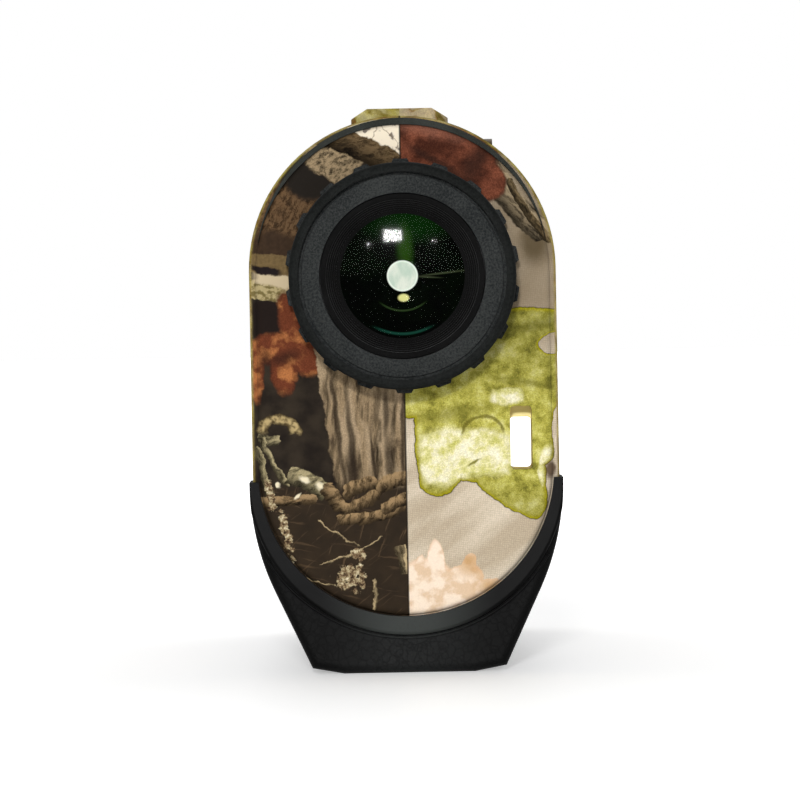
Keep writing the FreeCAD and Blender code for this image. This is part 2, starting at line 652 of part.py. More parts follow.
def cone_baffle():
    """The stepped cone that frames the eye lens and holds it in the cell."""
    run = "((cone_front - cone_rear) / cone_steps)"
    fall = "((cone_mouth - cone_throat) / cone_steps)"
    corners = [("cone_mouth", "cone_rear"), ("cone_outer", "cone_rear"), ("cone_outer", "cone_step"),
               ("cone_neck", "cone_step"), ("cone_neck", "cone_front"), ("cone_throat", "cone_front")]
    count = int(size_of("cone_steps"))
    for step in range(count - 1, 0, -1):
        station = "cone_rear + %s * %d" % (run, step)
        corners.append(("cone_mouth - %s * %d" % (fall, step + 1), station))
        corners.append(("cone_mouth - %s * %d" % (fall, step), station))
    corners.append(("cone_mouth - %s" % fall, "cone_rear"))
    return turned("cone_baffle", corners[1:], "eye_height")


def eyepiece_optics():
    return [
        lens("eye_lens", "eye_lens_radius", "eye_lens_rear", "eye_lens_front", "eye_lens_curve",
             "eye_lens_curve", "eye_height"),
        ring("lens_spacer", "spacer_inner", "eye_lens_radius", "eye_lens_front", "field_lens_rear",
             "eye_height"),
        lens("field_lens", "eye_lens_radius", "field_lens_rear", "field_lens_front",
             "field_lens_curve", None, "eye_height")]


# ---- display and prisms ----

def display_unit():
    glass = block("display_glass", "display_width", "display_thick", "display_height",
                  "-display_width / 2", "display_rear", "eye_height - display_height / 2")
    side = "(display_width / 2 + display_frame_edge)"
    frame = block("display_blank", "2 * " + side, "display_frame_thick", "2 * " + side, "-" + side,
                  "display_rear - overrun", "eye_height - " + side)
    window = cylinder("display_window", "display_window", "3 * display_frame_thick", "0",
                      "display_rear - display_frame_thick", "eye_height", along_y)
    pocket_room = block("display_pocket", "display_width", "display_frame_thick", "display_height",
                        "-display_width / 2", "display_rear", "eye_height - display_height / 2")
    return [glass, cut("display_frame", frame, fused("display_room", [window, pocket_room]))]


def prism(label, corners):
    body = new_body(label)
    sketch = outline(body, label + "_outline", "YZ_Plane", corners, "-prism_width / 2")
    pad(body, sketch, "prism_width", reverse=False)
    place(body, y="prism_centre", z="eye_height")
    return body


def prism_pair():
    """Two erecting prisms with a thin air gap between their slanted faces."""
    half = "(prism_length / 2 - holder_wall)"
    roof = prism("roof_prism", [
        ("-" + half, "-prism_half"), ("-prism_slope - prism_gap", "-prism_half"),
        ("prism_slope - prism_gap", "prism_half"), ("-prism_slope", "prism_peak"),
        ("-" + half, "prism_half")])
    entry = prism("entry_prism", [
        ("-prism_slope", "-prism_half"), (half, "-prism_half"), (half, "prism_half"),
        ("prism_slope * 2", "prism_peak"), ("prism_slope", "prism_half")])
    return [roof, entry]


def prism_holder():
    width = "(prism_width + 2 * holder_wall)"
    box = block("holder_blank", width, "prism_length", "prism_half + holder_wall + holder_top",
                "-%s / 2" % width, "prism_centre - prism_length / 2",
                "eye_height - prism_half - holder_wall")
    room = block("holder_room", "prism_width", "prism_length - 2 * holder_wall",
                 "prism_half + holder_top + overrun", "-prism_width / 2",
                 "prism_centre - prism_length / 2 + holder_wall", "eye_height - prism_half")
    light_way = cylinder("holder_window", "holder_window", "2 * prism_length", "0",
                         "prism_centre - prism_length", "eye_height", along_y)
    emitter_way = cylinder("holder_emitter_hole", "emitter_radius", "prism_half", "0",
                           "emitter_station", "emitter_low")
    return cut("prism_holder", box, fused("holder_spaces", [room, light_way, emitter_way]))


# ---- objective ----

def optical_tube():
    return turned("optical_tube", [
        ("tube_bore_rear", "tube_rear"), ("tube_bore_rear + tube_wall", "tube_rear"),
        ("tube_outer", "tube_step"), ("tube_outer", "tube_front"),
        ("tube_outer - tube_wall", "tube_front"), ("tube_outer - tube_wall", "tube_step")],
        "eye_height")


def objective_cell():
    return turned("objective_cell", [
        ("objective_stop", "objective_rear"), ("objective_outer", "objective_rear"),
        ("objective_outer", "objective_front"), ("objective_bore", "objective_front"),
        ("objective_bore", "objective_seat"), ("objective_stop", "objective_seat")], "eye_height")


def objective_optics():
    radius = "(objective_bore - seat_play)"
    crown = lens("objective_crown", radius, "cement_peak", "crown_front", "cement_curve",
                 "crown_curve", "eye_height")
    body_disc = cylinder("flint_disc", radius, "cement_face - flint_rear", "0", "flint_rear",
                         "eye_height", along_y)
    hollow = ball("flint_hollow", "cement_curve", "0", "cement_peak + cement_curve", "eye_height")
    flint = cut("objective_flint", body_disc, hollow)
    keeper = ring("objective_retainer", "objective_ring_bore", radius, "objective_ring_rear",
                  "objective_ring_front", "eye_height")
    seal = document.addObject("Part::Torus", "objective_seal")
    bind(seal, Radius1="seal_major", Radius2="seal_minor")
    along_y(seal)
    place(seal, "0", "seal_station", "eye_height")
    return [crown, flint, keeper, seal]


# ---- receiver ----

def receiver_parts():
    cell = turned("receiver_cell", [
        ("receiver_stop", "receiver_rear"), ("receiver_outer", "receiver_rear"),
        ("receiver_outer", "receiver_front"), ("receiver_bore", "receiver_front"),
        ("receiver_bore", "receiver_seat"), ("receiver_stop", "receiver_seat")], "beam_height")
    radius = "(receiver_bore - seat_play)"
    glass = lens("receiver_lens", radius, "receiver_seat", "receiver_lens_front", None,
                 "receiver_curve", "beam_height")
    keeper = ring("receiver_retainer", "receiver_ring_bore", radius, "receiver_ring_rear",
                  "receiver_ring_front", "beam_height")
    cone = turned("receiver_baffle", [
        ("baffle_throat", "baffle_rear"), ("baffle_throat + baffle_wall", "baffle_rear"),
        ("baffle_mouth", "baffle_front"), ("baffle_mouth - baffle_wall", "baffle_front")],
        "beam_height")
    sensor = turned("light_sensor", [
        ("0", "sensor_rear"), ("sensor_flange", "sensor_rear"),
        ("sensor_flange", "sensor_rear + sensor_flange_thick"),
        ("sensor_radius", "sensor_rear + sensor_flange_thick"), ("sensor_radius", "sensor_front"),
        ("sensor_window", "sensor_front"), ("sensor_window", "sensor_front - sensor_sunk"),
        ("0", "sensor_front - sensor_sunk")], "beam_height")
    return [cell, glass, keeper, cone, sensor]


# ---- electronics ----

def main_board():
    board = block("main_board", "main_board_width", "board_thick", "main_board_tall",
                  "-main_board_width / 2", "main_board_rear", "main_board_low")
    face = "main_board_rear + board_thick"
    processor = block("processor", "chip_side", "chip_thick", "chip_side", "-chip_side / 2 - chip_aside",
                      face,
                      "main_board_low + chip_rise")
    memory = block("timing_chip", "timer_side", "chip_thick", "timer_side", "chip_side / 2", face,
                   "main_board_low + timer_rise")
    coil = block("voltage_coil", "coil_side", "2 * chip_thick", "coil_side",
                 "coil_aside", face, "main_board_low + coil_rise")
    chips = group("main_board_chips", [processor, memory, coil])
    return [board, chips]


def receiver_board():
    return block("receiver_board", "receiver_board_width", "board_thick", "receiver_board_tall",
                 "-receiver_board_width / 2", "receiver_board_rear", "receiver_board_low")


def laser_emitter():
    holder = block("emitter_blank", "emitter_block", "emitter_block", "emitter_block_tall",
                   "-emitter_block / 2", "emitter_station - emitter_block / 2", "emitter_block_low")
    room = cylinder("emitter_room", "emitter_flange + seat_play", "emitter_block_tall + 2 * overrun", "0",
                    "emitter_station", "emitter_block_low - overrun")
    can = cylinder("emitter_can", "emitter_radius", "emitter_tall", "0", "emitter_station",
                   "emitter_low")
    flange = cylinder("emitter_base", "emitter_flange", "emitter_flange_thick", "0", "emitter_station",
                      "emitter_low - emitter_flange_thick")
    return [cut("emitter_holder", holder, room), fused("laser_diode", [can, flange])]


def button_board():
    board = block("button_board", "button_board_width", "button_board_length", "button_board_thick",
                  "-button_board_width / 2", "button_board_rear", "button_board_low")
    top = "(button_board_low + button_board_thick)"
    switches = []
    for name, station in (("fire", "fire_station"), ("mode", "mode_station")):
        case = block(name + "_switch_case", "switch_side", "switch_side", "switch_thick",
                     "-switch_side / 2", station + " - switch_side / 2", top)
        plunger = cylinder(name + "_switch_plunger", "plunger_radius", "plunger_tall", "0", station,
                           top + " + switch_thick")
        switches.append(fused(name + "_switch", [case, plunger]))
    return [board, group("tact_switches", switches)]


# ---- battery, tube and cap ----

def battery():
    return turned("battery", [
        ("0", "battery_low"), ("battery_nub_radius", "battery_low"),
        ("battery_nub_radius", "battery_low + battery_nub"),
        ("battery_radius", "battery_low + battery_nub"),
        ("battery_radius", "battery_low + battery_tall"), ("0", "battery_low + battery_tall")],
        station="battery_station", upright=True)


def battery_tube():
    return turned("battery_tube", [
        ("thread_radius", "battery_tube_low"), ("collar_outer", "battery_tube_low"),
        ("collar_outer", "collar_top"), ("battery_tube_outer", "collar_top"),
        ("battery_tube_outer", "battery_tube_top"), ("0", "battery_tube_top"),
        ("0", "battery_tube_top - battery_tube_end"),
        ("tube_fit", "battery_tube_top - battery_tube_end"), ("tube_fit", "thread_top"),
        ("thread_radius", "thread_top")], station="battery_station", upright=True)


def battery_spring():
    """A coil contact between the battery and the closed end of its tube."""
    body = new_body("battery_spring")
    low = "(battery_low + battery_tall + spring_wire)"
    high = "(battery_tube_top - battery_tube_end - spring_wire)"
    wire = circle(body, "spring_wire_section", "XZ_Plane", "spring_radius", low, "spring_wire")
    coil = body.newObject("PartDesign::AdditiveHelix", "spring_coil")
    coil.Profile = wire
    coil.ReferenceAxis = (wire, ["V_Axis"])
    coil.Mode = 0
    bind(coil, Pitch="(%s - %s) / spring_turns" % (high, low), Height="%s - %s" % (high, low))
    place(body, y="battery_station")
    return body


def battery_cap():
    blank = turned("cap_blank", [
        ("0", "cap_low"), ("cap_radius", "cap_low"), ("cap_radius", "cap_shoulder"),
        ("cap_skirt", "cap_shoulder"), ("cap_skirt", "cap_top"), ("cap_skirt_inner", "cap_top"),
        ("cap_skirt_inner", "cap_floor"), ("0", "cap_floor")],
        station="battery_station", upright=True)
    coin_slot = block("coin_slot", "coin_length", "coin_width", "coin_depth + overrun", "-coin_length / 2",
                      "battery_station - coin_width / 2", "cap_low - overrun")
    cap = cut("battery_cap", blank, coin_slot)
    contact = cylinder("cap_contact", "contact_radius", "contact_thick", "0", "battery_station",
                       "cap_floor + contact_gap")
    seal = document.addObject("Part::Torus", "cap_seal")
    bind(seal, Radius1="cap_seal_major", Radius2="cap_seal_minor")
    place(seal, "0", "battery_station", "cap_seal_low")
    return [cap, contact, seal]


# ---- buttons ----

def long_button_corners(half, length, station):
    """A rounded oblong, seen from above."""
    reach = "(%s / 2 - %s)" % (length, half)
    return [("-" + half, "%s + %s" % (station, reach)), ("-" + half, "%s - %s" % (station, reach), half, 1),
            (half, "%s - %s" % (station, reach)), (half, "%s + %s" % (station, reach), half, 1)]


def upright_pad(label, corners, low, high):
    body = new_body(label)
    sketch = outline(body, label + "_outline", "XY_Plane", corners, low)
    pad(body, sketch, "(%s) - (%s)" % (high, low), reverse=False)
    return body


def top_button(name, station, length):
    cap = upright_pad(name + "_cap", long_button_corners("button_half", length, station),
                      "button_seat", "button_top")
    round_edges(cap, name + "_crown", "button_crown", lies_at("Z", "button_top"))
    flange_half = "(button_half + button_flange)"
    flange = upright_pad(name + "_flange",
                         long_button_corners(flange_half, "(%s + 2 * button_flange)" % length, station),
                         "button_low", "button_seat")
    stem = cylinder(name + "_stem", "button_stem", "button_low - stem_low", "0", station, "stem_low")
    return fused(name + "_button", [cap, flange, stem])


def button_island():
    body = prism_along_y("island_block", [
        ("-island_half", "island_low"), ("island_half", "island_low"), ("island_half", "island_edge"),
        ("island_top_half", "island_top"), ("-island_top_half", "island_top"),
        ("-island_half", "island_edge")], "island_rear", "island_front")
    plan = upright_pad("island_plan", [
        ("-island_half", "island_front - island_round"), ("-island_half", "island_rear + island_round",
                                                          "island_round", 1),
        ("-island_half + island_round", "island_rear"), ("island_half - island_round", "island_rear",
                                                         "island_round", 1),
        ("island_half", "island_rear + island_round"), ("island_half", "island_front - island_round",
                                                        "island_round", 1),
        ("island_half - island_round", "island_front"), ("-island_half + island_round", "island_front",
                                                         "island_round", 1)],
        "island_low - overrun", "island_top + overrun")
    holes = []
    for name, station, length in (("fire", "fire_station", "fire_length"),
                                  ("mode", "mode_station", "mode_length")):
        corners = long_button_corners("(button_half + button_gap)", "(%s + 2 * button_gap)" % length,
                                      station)
        holes.append(upright_pad(name + "_hole", corners, "island_low - overrun", "island_top + overrun"))
    return cut("button_bezel", shared("island_rounded", [body, plan]), fused("island_holes", holes))


# ---- assembly ----

def build():
    grooves = finger_grooves("finger_grooves", "0")
    slot = strap_slot()
    band = trim_band()
    sleeve = rubber_grip(slot, grooves)
    grip = cut("rubber_grip", sleeve, battery_hole("grip_hole", "cap_hole"))
    shells, screws = casing_shells(sleeve, band, slot, grooves)
    nodes = shells + [screws, band, grip, front_bezel(grooves), eyepiece_barrel(),
                      diopter_ring(), eyecup(), lens_cell(), cell_pin(), cone_baffle()]
    nodes += eyepiece_optics() + display_unit() + prism_pair() + [prism_holder(), optical_tube()]
    nodes += [objective_cell()] + objective_optics() + receiver_parts()
    nodes += main_board() + [receiver_board()] + laser_emitter() + button_board()
    nodes += [battery(), battery_tube(), battery_spring()] + battery_cap()
    nodes += [button_island(), top_button("fire", "fire_station", "fire_length"),
              top_button("mode", "mode_station", "mode_length")]
    return nodes


def check_document():
    failed = [thing.Name for thing in document.Objects
              if "Invalid" in thing.State or "Error" in thing.State]
    if failed:
        raise RuntimeError("objects that failed: " + ", ".join(failed))


def check_nodes(nodes):
    for node in nodes:
        if node.Shape.isNull() or not node.Shape.isValid():
            raise RuntimeError("bad shape: " + node.Label)


def main():
    nodes = build()
    document.recompute()
    check_document()
    check_nodes(nodes)
    os.makedirs("parts", exist_ok=True)
    for node in nodes:
        node.Shape.exportStep("parts/%s.step" % node.Label)
        box = node.Shape.BoundBox
        print("%-20s solids %d volume %9.1f  x %.1f %.1f  y %.1f %.1f  z %.1f %.1f" % (
            node.Label, len(node.Shape.Solids), node.Shape.Volume,
            box.XMin, box.XMax, box.YMin, box.YMax, box.ZMin, box.ZMax))


main()
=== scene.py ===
import bpy
import bmesh
import math
from mathutils import Matrix, Vector


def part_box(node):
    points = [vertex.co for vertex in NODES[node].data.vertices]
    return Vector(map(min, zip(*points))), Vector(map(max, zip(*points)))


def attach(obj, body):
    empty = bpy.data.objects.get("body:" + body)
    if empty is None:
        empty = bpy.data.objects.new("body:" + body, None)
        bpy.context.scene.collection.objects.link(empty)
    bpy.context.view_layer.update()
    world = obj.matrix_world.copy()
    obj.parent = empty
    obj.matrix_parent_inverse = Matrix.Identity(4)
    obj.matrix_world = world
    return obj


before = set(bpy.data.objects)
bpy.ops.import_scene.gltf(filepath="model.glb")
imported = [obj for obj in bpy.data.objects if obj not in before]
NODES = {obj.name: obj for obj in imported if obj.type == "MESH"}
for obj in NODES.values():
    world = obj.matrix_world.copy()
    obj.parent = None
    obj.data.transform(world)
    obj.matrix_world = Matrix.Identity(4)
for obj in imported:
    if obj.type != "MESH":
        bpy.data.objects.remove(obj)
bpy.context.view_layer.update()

# The looks of an upright laser rangefinder. Scene units are metres; materials work in
# millimetres, because every CAD object sits at the origin and its object coordinates
# are the row frame's.

MM = 0.001


def place_of(node):
    """The middle of a CAD node's box, in millimetres."""
    low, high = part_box(node)
    return (low + high) * 0.5 / MM


EYE_HEIGHT = place_of("eyepiece_barrel").z
PANEL_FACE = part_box("left_shell")[0].y / MM
EYECUP_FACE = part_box("eyecup")[0].y / MM


# ---- shader building ----

GROUPS = {}


def group_round(kind, inputs, outputs, settings):
    """A node group round one node. A large material needs it: Cycles converts the sockets of
    a group in place, and otherwise keeps every loose value until it runs out of stack."""
    tree = bpy.data.node_groups.new("one_" + kind, "ShaderNodeTree")
    inner = tree.nodes.new("ShaderNode" + kind)
    for name, value in settings:
        setattr(inner, name, value)
    entry = tree.nodes.new("NodeGroupInput")
    leave = tree.nodes.new("NodeGroupOutput")
    for name in inputs:
        socket = inner.inputs[name]
        sort = "NodeSocketVector" if socket.type == "VECTOR" else "NodeSocketFloat"
        tree.interface.new_socket(name, in_out="INPUT", socket_type=sort)
        tree.links.new(entry.outputs[name], socket)
    for name in outputs:
        socket = inner.outputs[name]
        sort = "NodeSocketFloat" if socket.type == "VALUE" else "NodeSocketVector"
        tree.interface.new_socket(name, in_out="OUTPUT", socket_type=sort)
        if socket.type == "RGBA":
            split = tree.nodes.new("ShaderNodeSeparateColor")
            join = tree.nodes.new("ShaderNodeCombineXYZ")
            tree.links.new(socket, split.inputs[0])
            for channel in range(3):
                tree.links.new(split.outputs[channel], join.inputs[channel])
            socket = join.outputs[0]
        tree.links.new(socket, leave.inputs[name])
    return tree


class Shader:
    """Adds nodes to one tree. An input may be another node's output, a number or a tuple."""

    def __init__(self, tree):
        self.tree = tree

    def node(self, kind, **settings):
        made = self.tree.nodes.new("ShaderNode" + kind)
        for name, value in settings.items():
            setattr(made, name, value)
        return made

    def grouped(self, kind, values, outputs, **settings):
        """The outputs of a group round one node, with these input values."""
        key = (kind, tuple(values), tuple(outputs), tuple(settings.items()))
        if key not in GROUPS:
            GROUPS[key] = group_round(kind, values, outputs, settings.items())
        made = self.node("Group", node_tree=GROUPS[key])
        for name, value in values.items():
            self.put(made.inputs[name], value)
        return made.outputs

    def put(self, socket, value):
        if isinstance(value, bpy.types.NodeSocket):
            self.tree.links.new(value, socket)
        elif value is not None:
            if socket.type == "RGBA" and len(value) == 3:
                value = (*value, 1.0)
            socket.default_value = value

    def math(self, operation, first, second=None, third=None):
        made = self.node("Math", operation=operation)
        for socket, value in zip(made.inputs, (first, second, third)):
            self.put(socket, value)
        return made.outputs[0]

    def add(self, first, second):
        return self.math("ADD", first, second)

    def times(self, first, second):
        return self.math("MULTIPLY", first, second)

    def least(self, first, second):
        return self.math("MINIMUM", first, second)

    def most(self, first, second):
        return self.math("MAXIMUM", first, second)

    def less(self, first, second):
        return self.math("SUBTRACT", first, second)

    def size(self, value):
        return self.math("ABSOLUTE", value)

    def flip(self, value):
        return self.less(1.0, value)

    def apart(self, value, middle):
        """How far the value is from middle, either way."""
        return self.size(self.less(value, middle))

    def vector(self, operation, first, second=None):
        made = self.node("VectorMath", operation=operation)
        self.put(made.inputs[0], first)
        if second is not None:
            self.put(made.inputs[1], second)
        return made.outputs["Value" if operation in ("LENGTH", "DOT_PRODUCT") else "Vector"]

    def length(self, vector):
        return self.vector("LENGTH", vector)

    def scaled(self, vector, factor):
        made = self.node("VectorMath", operation="SCALE")
        self.put(made.inputs[0], vector)
        self.put(made.inputs["Scale"], factor)
        return made.outputs["Vector"]

    def turned(self, vector, degrees):
        """The vector in axes turned by this angle about Z."""
        return self.turned_by(vector, -math.radians(degrees))

    def turned_by(self, vector, angle):
        return self.grouped("VectorRotate", {"Vector": vector, "Angle": angle}, ["Vector"],
                            rotation_type="Z_AXIS")["Vector"]

    def parts(self, vector):
        """A vector's three parts."""
        return self.grouped("SeparateXYZ", {"Vector": vector}, ["X", "Y", "Z"])

    def joined(self, x, y, z=0.0):
        made = self.node("CombineXYZ")
        for socket, value in zip(made.inputs, (x, y, z)):
            self.put(socket, value)
        return made.outputs[0]

    def grey(self, level):
        made = self.node("CombineColor")
        for socket in made.inputs:
            self.put(socket, level)
        return made.outputs[0]

    def step(self, value, low, high, out_low=0.0, out_high=1.0):
        """Smoothly from out_low to out_high as the value goes from low to high."""
        made = self.node("MapRange", interpolation_type="SMOOTHSTEP")
        for socket, number in zip(made.inputs, (value, low, high, out_low, out_high)):
            self.put(socket, number)
        return made.outputs[0]

    def noise(self, vector, scale, detail=2.0, roughness=0.5, distortion=0.0, output="Fac"):
        values = {"Vector": vector, "Scale": scale, "Detail": detail, "Roughness": roughness,
                  "Distortion": distortion}
        return self.grouped("TexNoise", values, [output])[output]

    def noise_vector(self, vector, scale, detail=2.0):
        """Noise of -0.5 to 0.5 on all three axes."""
        raw = self.noise(vector, scale, detail, output="Color")
        return self.vector("SUBTRACT", raw, (0.5, 0.5, 0.5))

    def cells(self, vector, scale, feature="F1", jitter=1.0):
        """The distance to the nearest cell's middle, or with DISTANCE_TO_EDGE to its edge."""
        values = {"Vector": vector, "Scale": scale, "Randomness": jitter}
        return self.grouped("TexVoronoi", values, ["Distance"], feature=feature)["Distance"]

    def ramp(self, value, *stops):
        """A colour ramp; each stop is (position, colour)."""
        made = self.node("ValToRGB")
        self.put(made.inputs[0], value)
        elements = made.color_ramp.elements
        while len(elements) < len(stops):
            elements.new(0.5)
        for element, (position, colour) in zip(elements, stops):
            element.position = position
            element.color = (*colour, 1.0)
        return made.outputs[0]

    def mix(self, factor, below, above, blend="MIX"):
        made = self.node("Mix", data_type="RGBA", blend_type=blend)
        made.clamp_factor = True
        self.put(made.inputs["Factor"], factor)
        self.put(made.inputs[6], below)
        self.put(made.inputs[7], above)
        return made.outputs[2]

    def shaded(self, colour, level):
        """The colour, darker or lighter by this factor."""
        return self.mix(1.0, colour, self.grey(level), "MULTIPLY")

    def bump(self, height, strength, distance):
        made = self.node("Bump")
        made.inputs["Strength"].default_value = strength
        made.inputs["Distance"].default_value = distance * MM
        self.put(made.inputs["Height"], height)
        return made.outputs[0]


def new_material(name):
    """An empty material, its shader helper, its surface node and its place in mm."""
    material = bpy.data.materials.new(name)
    material.use_nodes = True
    tree = material.node_tree
    surface = tree.nodes["Principled BSDF"]
    shader = Shader(tree)
    place = shader.scaled(shader.node("TexCoord").outputs["Object"], 1.0 / MM)
    return material, shader, surface, place


def finish_surface(shader, surface, colour=None, roughness=None, normal=None, **constants):
    shader.put(surface.inputs["Base Color"], colour)
    shader.put(surface.inputs["Roughness"], roughness)
    shader.put(surface.inputs["Normal"], normal)
    for name, value in constants.items():
        surface.inputs[name.replace("_", " ")].default_value = value


def tone(red, green, blue):
    """A linear colour from display values of 0 to 255."""
    return tuple(((value / 255 + 0.055) / 1.055) ** 2.4 for value in (red, green, blue))


# ---- the woodland print ----
# Its colours, then the shapes it is painted from, then the rear panel and the sides.

WEAVE = tone(216, 202, 180)
WEAVE_DARK = tone(186, 170, 146)
CREAM = tone(228, 216, 190)
OLIVE = tone(166, 158, 66)
OLIVE_DARK = tone(104, 96, 36)
OLIVE_PALE = tone(230, 226, 176)
RUST = tone(118, 58, 34)
RUST_DARK = tone(52, 30, 22)
ORANGE = tone(178, 102, 52)
PEACH = tone(238, 216, 194)
BARK_LIGHT = tone(176, 152, 120)
BARK_MID = tone(112, 90, 66)
BARK_DARK = tone(48, 37, 28)
LICHEN = tone(160, 146, 112)


def wander(s, point, amount, scale):
    """The point pushed about by noise, so that painted edges look torn, not drawn."""
    return s.vector("ADD", point, s.scaled(s.noise_vector(point, scale, 4.0), amount))


def local(s, point, x, z, angle):
    """The point in axes at (x, z) turned by angle."""
    return s.turned(s.vector("SUBTRACT", point, (x, z, 0.0)), angle)


def nearest(s, point, shapes, measure):
    """The least of one measure taken in each shape's own axes, scaled by its two radii."""
    field = None
    for x, z, wide, tall, angle in shapes:
        one = measure(s.vector("MULTIPLY", local(s, point, x, z, angle), (1 / wide, 1 / tall, 0.0)))
        field = one if field is None else s.least(field, one)
    return field


def blobs(s, point, *shapes):
    """A field that is under 1 inside any of the ellipses (x, z, radius, radius, angle)."""
    return nearest(s, point, shapes, s.length)


def slabs(s, point, *shapes):
    """Like blobs, but each shape is a rectangle with well rounded corners."""
    return nearest(s, point, shapes,
                   lambda inner: s.math("SQRT", s.length(s.vector("MULTIPLY", inner, inner))))


def patch(s, point, *corners):
    """Like blobs, but a straight-edged shape with rounded corners, given anticlockwise."""
    field = None
    for (x, z), (next_x, next_z) in zip(corners, corners[1:] + corners[:1]):
        length = math.hypot(next_x - x, next_z - z)
        outward = ((next_z - z) / length, (x - next_x) / length, 0.0)
        offset = outward[0] * x + outward[1] * z
        one = s.less(s.vector("DOT_PRODUCT", point, outward), offset)
        field = one if field is None else s.math("SMOOTH_MAX", field, one, 0.9)
    return s.math("MULTIPLY_ADD", field, 0.3, 1.0)


def inside(s, field, soft=0.05):
    return s.step(field, 1.0 + soft, 1.0 - soft)


def speckle(s, place, colour, amount=0.5):
    """The print's fine grain."""
    grain = s.noise(place, 6.0, 3.0, 0.7)
    return s.mix(s.step(grain, 0.35, 0.7), s.mix(amount, colour, (0.0, 0.0, 0.0)), colour)


def weave(s, place, point):
    """Grey-tan cloth-like ground: a fine slanted dot screen with broad soft shading."""
    slanted = s.parts(s.scaled(s.turned(point, 38.0), 15.0))
    dots = s.times(s.math("SINE", slanted[0]), s.math("SINE", slanted[1]))
    shade = s.noise(s.vector("MULTIPLY", s.turned(point, 35.0), (0.05, 0.22, 1.0)), 1.0, 3.0)
    ground = s.mix(s.step(shade, 0.35, 0.65), WEAVE_DARK, WEAVE)
    dark = s.mix(0.15, ground, BARK_DARK)
    return speckle(s, place, s.mix(s.step(dots, -0.2, 0.5), dark, ground), 0.2)


def wood(s, point, angle, stretch=5.0, light=BARK_LIGHT, scale=0.9):
    """Bark: dark grooves drawn out along one direction."""
    run = s.vector("MULTIPLY", s.turned(point, angle), (1.0 / stretch, 1.0, 1.0))
    grooves = s.noise(run, scale, 5.0, 0.62, 0.35)
    fine = s.noise(run, scale * 5.0, 4.0, 0.65)
    height = s.add(s.times(grooves, 0.75), s.times(fine, 0.25))
    mid = tuple(value * 0.42 for value in light)
    dark = tuple(value * 0.09 for value in light)
    return s.ramp(height, (0.36, dark), (0.46, mid), (0.56, light), (0.72, mid))


def stick(s, point, x, z, angle, length, width, bend=0.0, light=BARK_LIGHT, twist=0.0):
    """A thin branch: returns its mask and its colour, rounded by light on its upper side."""
    along = s.parts(local(s, point, x, z, angle))
    curve = s.times(s.times(along[0], along[0]), bend)
    across = s.math("DIVIDE", s.less(along[1], curve), width)
    ends = s.step(s.size(along[0]), length, length * 0.85, -0.3, 1.0)
    mask = s.step(s.less(s.size(across), ends), 0.08, -0.08)
    bark = wood(s, point, angle + twist, 4.0, light, 1.5)
    rounded = s.step(across, -1.0, 0.7, 0.16, 1.2)
    return mask, s.shaded(bark, rounded)


def lichen(s, below, point, *shapes):
    """Pale crusty clusters that break up towards their edges."""
    crumbs = s.noise(point, 0.85, 5.0, 0.62)
    field = s.add(blobs(s, point, *shapes), s.times(s.less(0.5, crumbs), 4.2))
    shade = s.noise(wander(s, point, 0.5, 1.2), 1.5, 4.0, 0.7)
    crust = s.ramp(shade, (0.38, BARK_DARK), (0.47, BARK_MID), (0.56, LICHEN), (0.72, CREAM))
    return s.mix(s.step(field, 1.0, 0.8), below, crust)


def grass(s, point, light=BARK_MID, angle=70.0):
    """Dark ground with fine crossing blades."""
    ground = s.mix(s.noise(point, 0.4, 3.0), tone(32, 27, 22), tone(54, 43, 31))
    for turn, strength in ((angle, 0.3), (-12.0, 0.2), (38.0, 0.2)):
        run = s.vector("MULTIPLY", s.turned(wander(s, point, 1.2, 0.25), turn), (0.10, 1.6, 1.0))
        blades = s.step(s.noise(run, 1.3, 2.0, 0.5), 0.62, 0.72, 0.0, strength)
        ground = s.mix(blades, ground, light)
    return ground


def painted(s, below, field, colour, soft=0.06):
    return s.mix(inside(s, field, soft), below, colour)


def sticks(s, below, point, light, *branches):
    """Several branches, each (x, z, angle, length, width, bend, twist)."""
    for x, z, angle, length, width, bend, twist in branches:
        mask, bark = stick(s, point, x, z, angle, length, width, bend, light, twist)
        below = s.mix(mask, below, bark)
    return below


def painted_in_turn(s, place, point, torn, colour, painters):
    """One painter over the other. Each one's points are moved by a trace of the colour below,
    too small to see, so that Cycles finishes a layer before it starts the next."""
    for painter in painters:
        trace = s.scaled(colour, 1e-5)
        place, point, torn = (s.vector("ADD", spot, trace) for spot in (place, point, torn))
        colour = painter(s, place, point, torn, colour)
    return colour


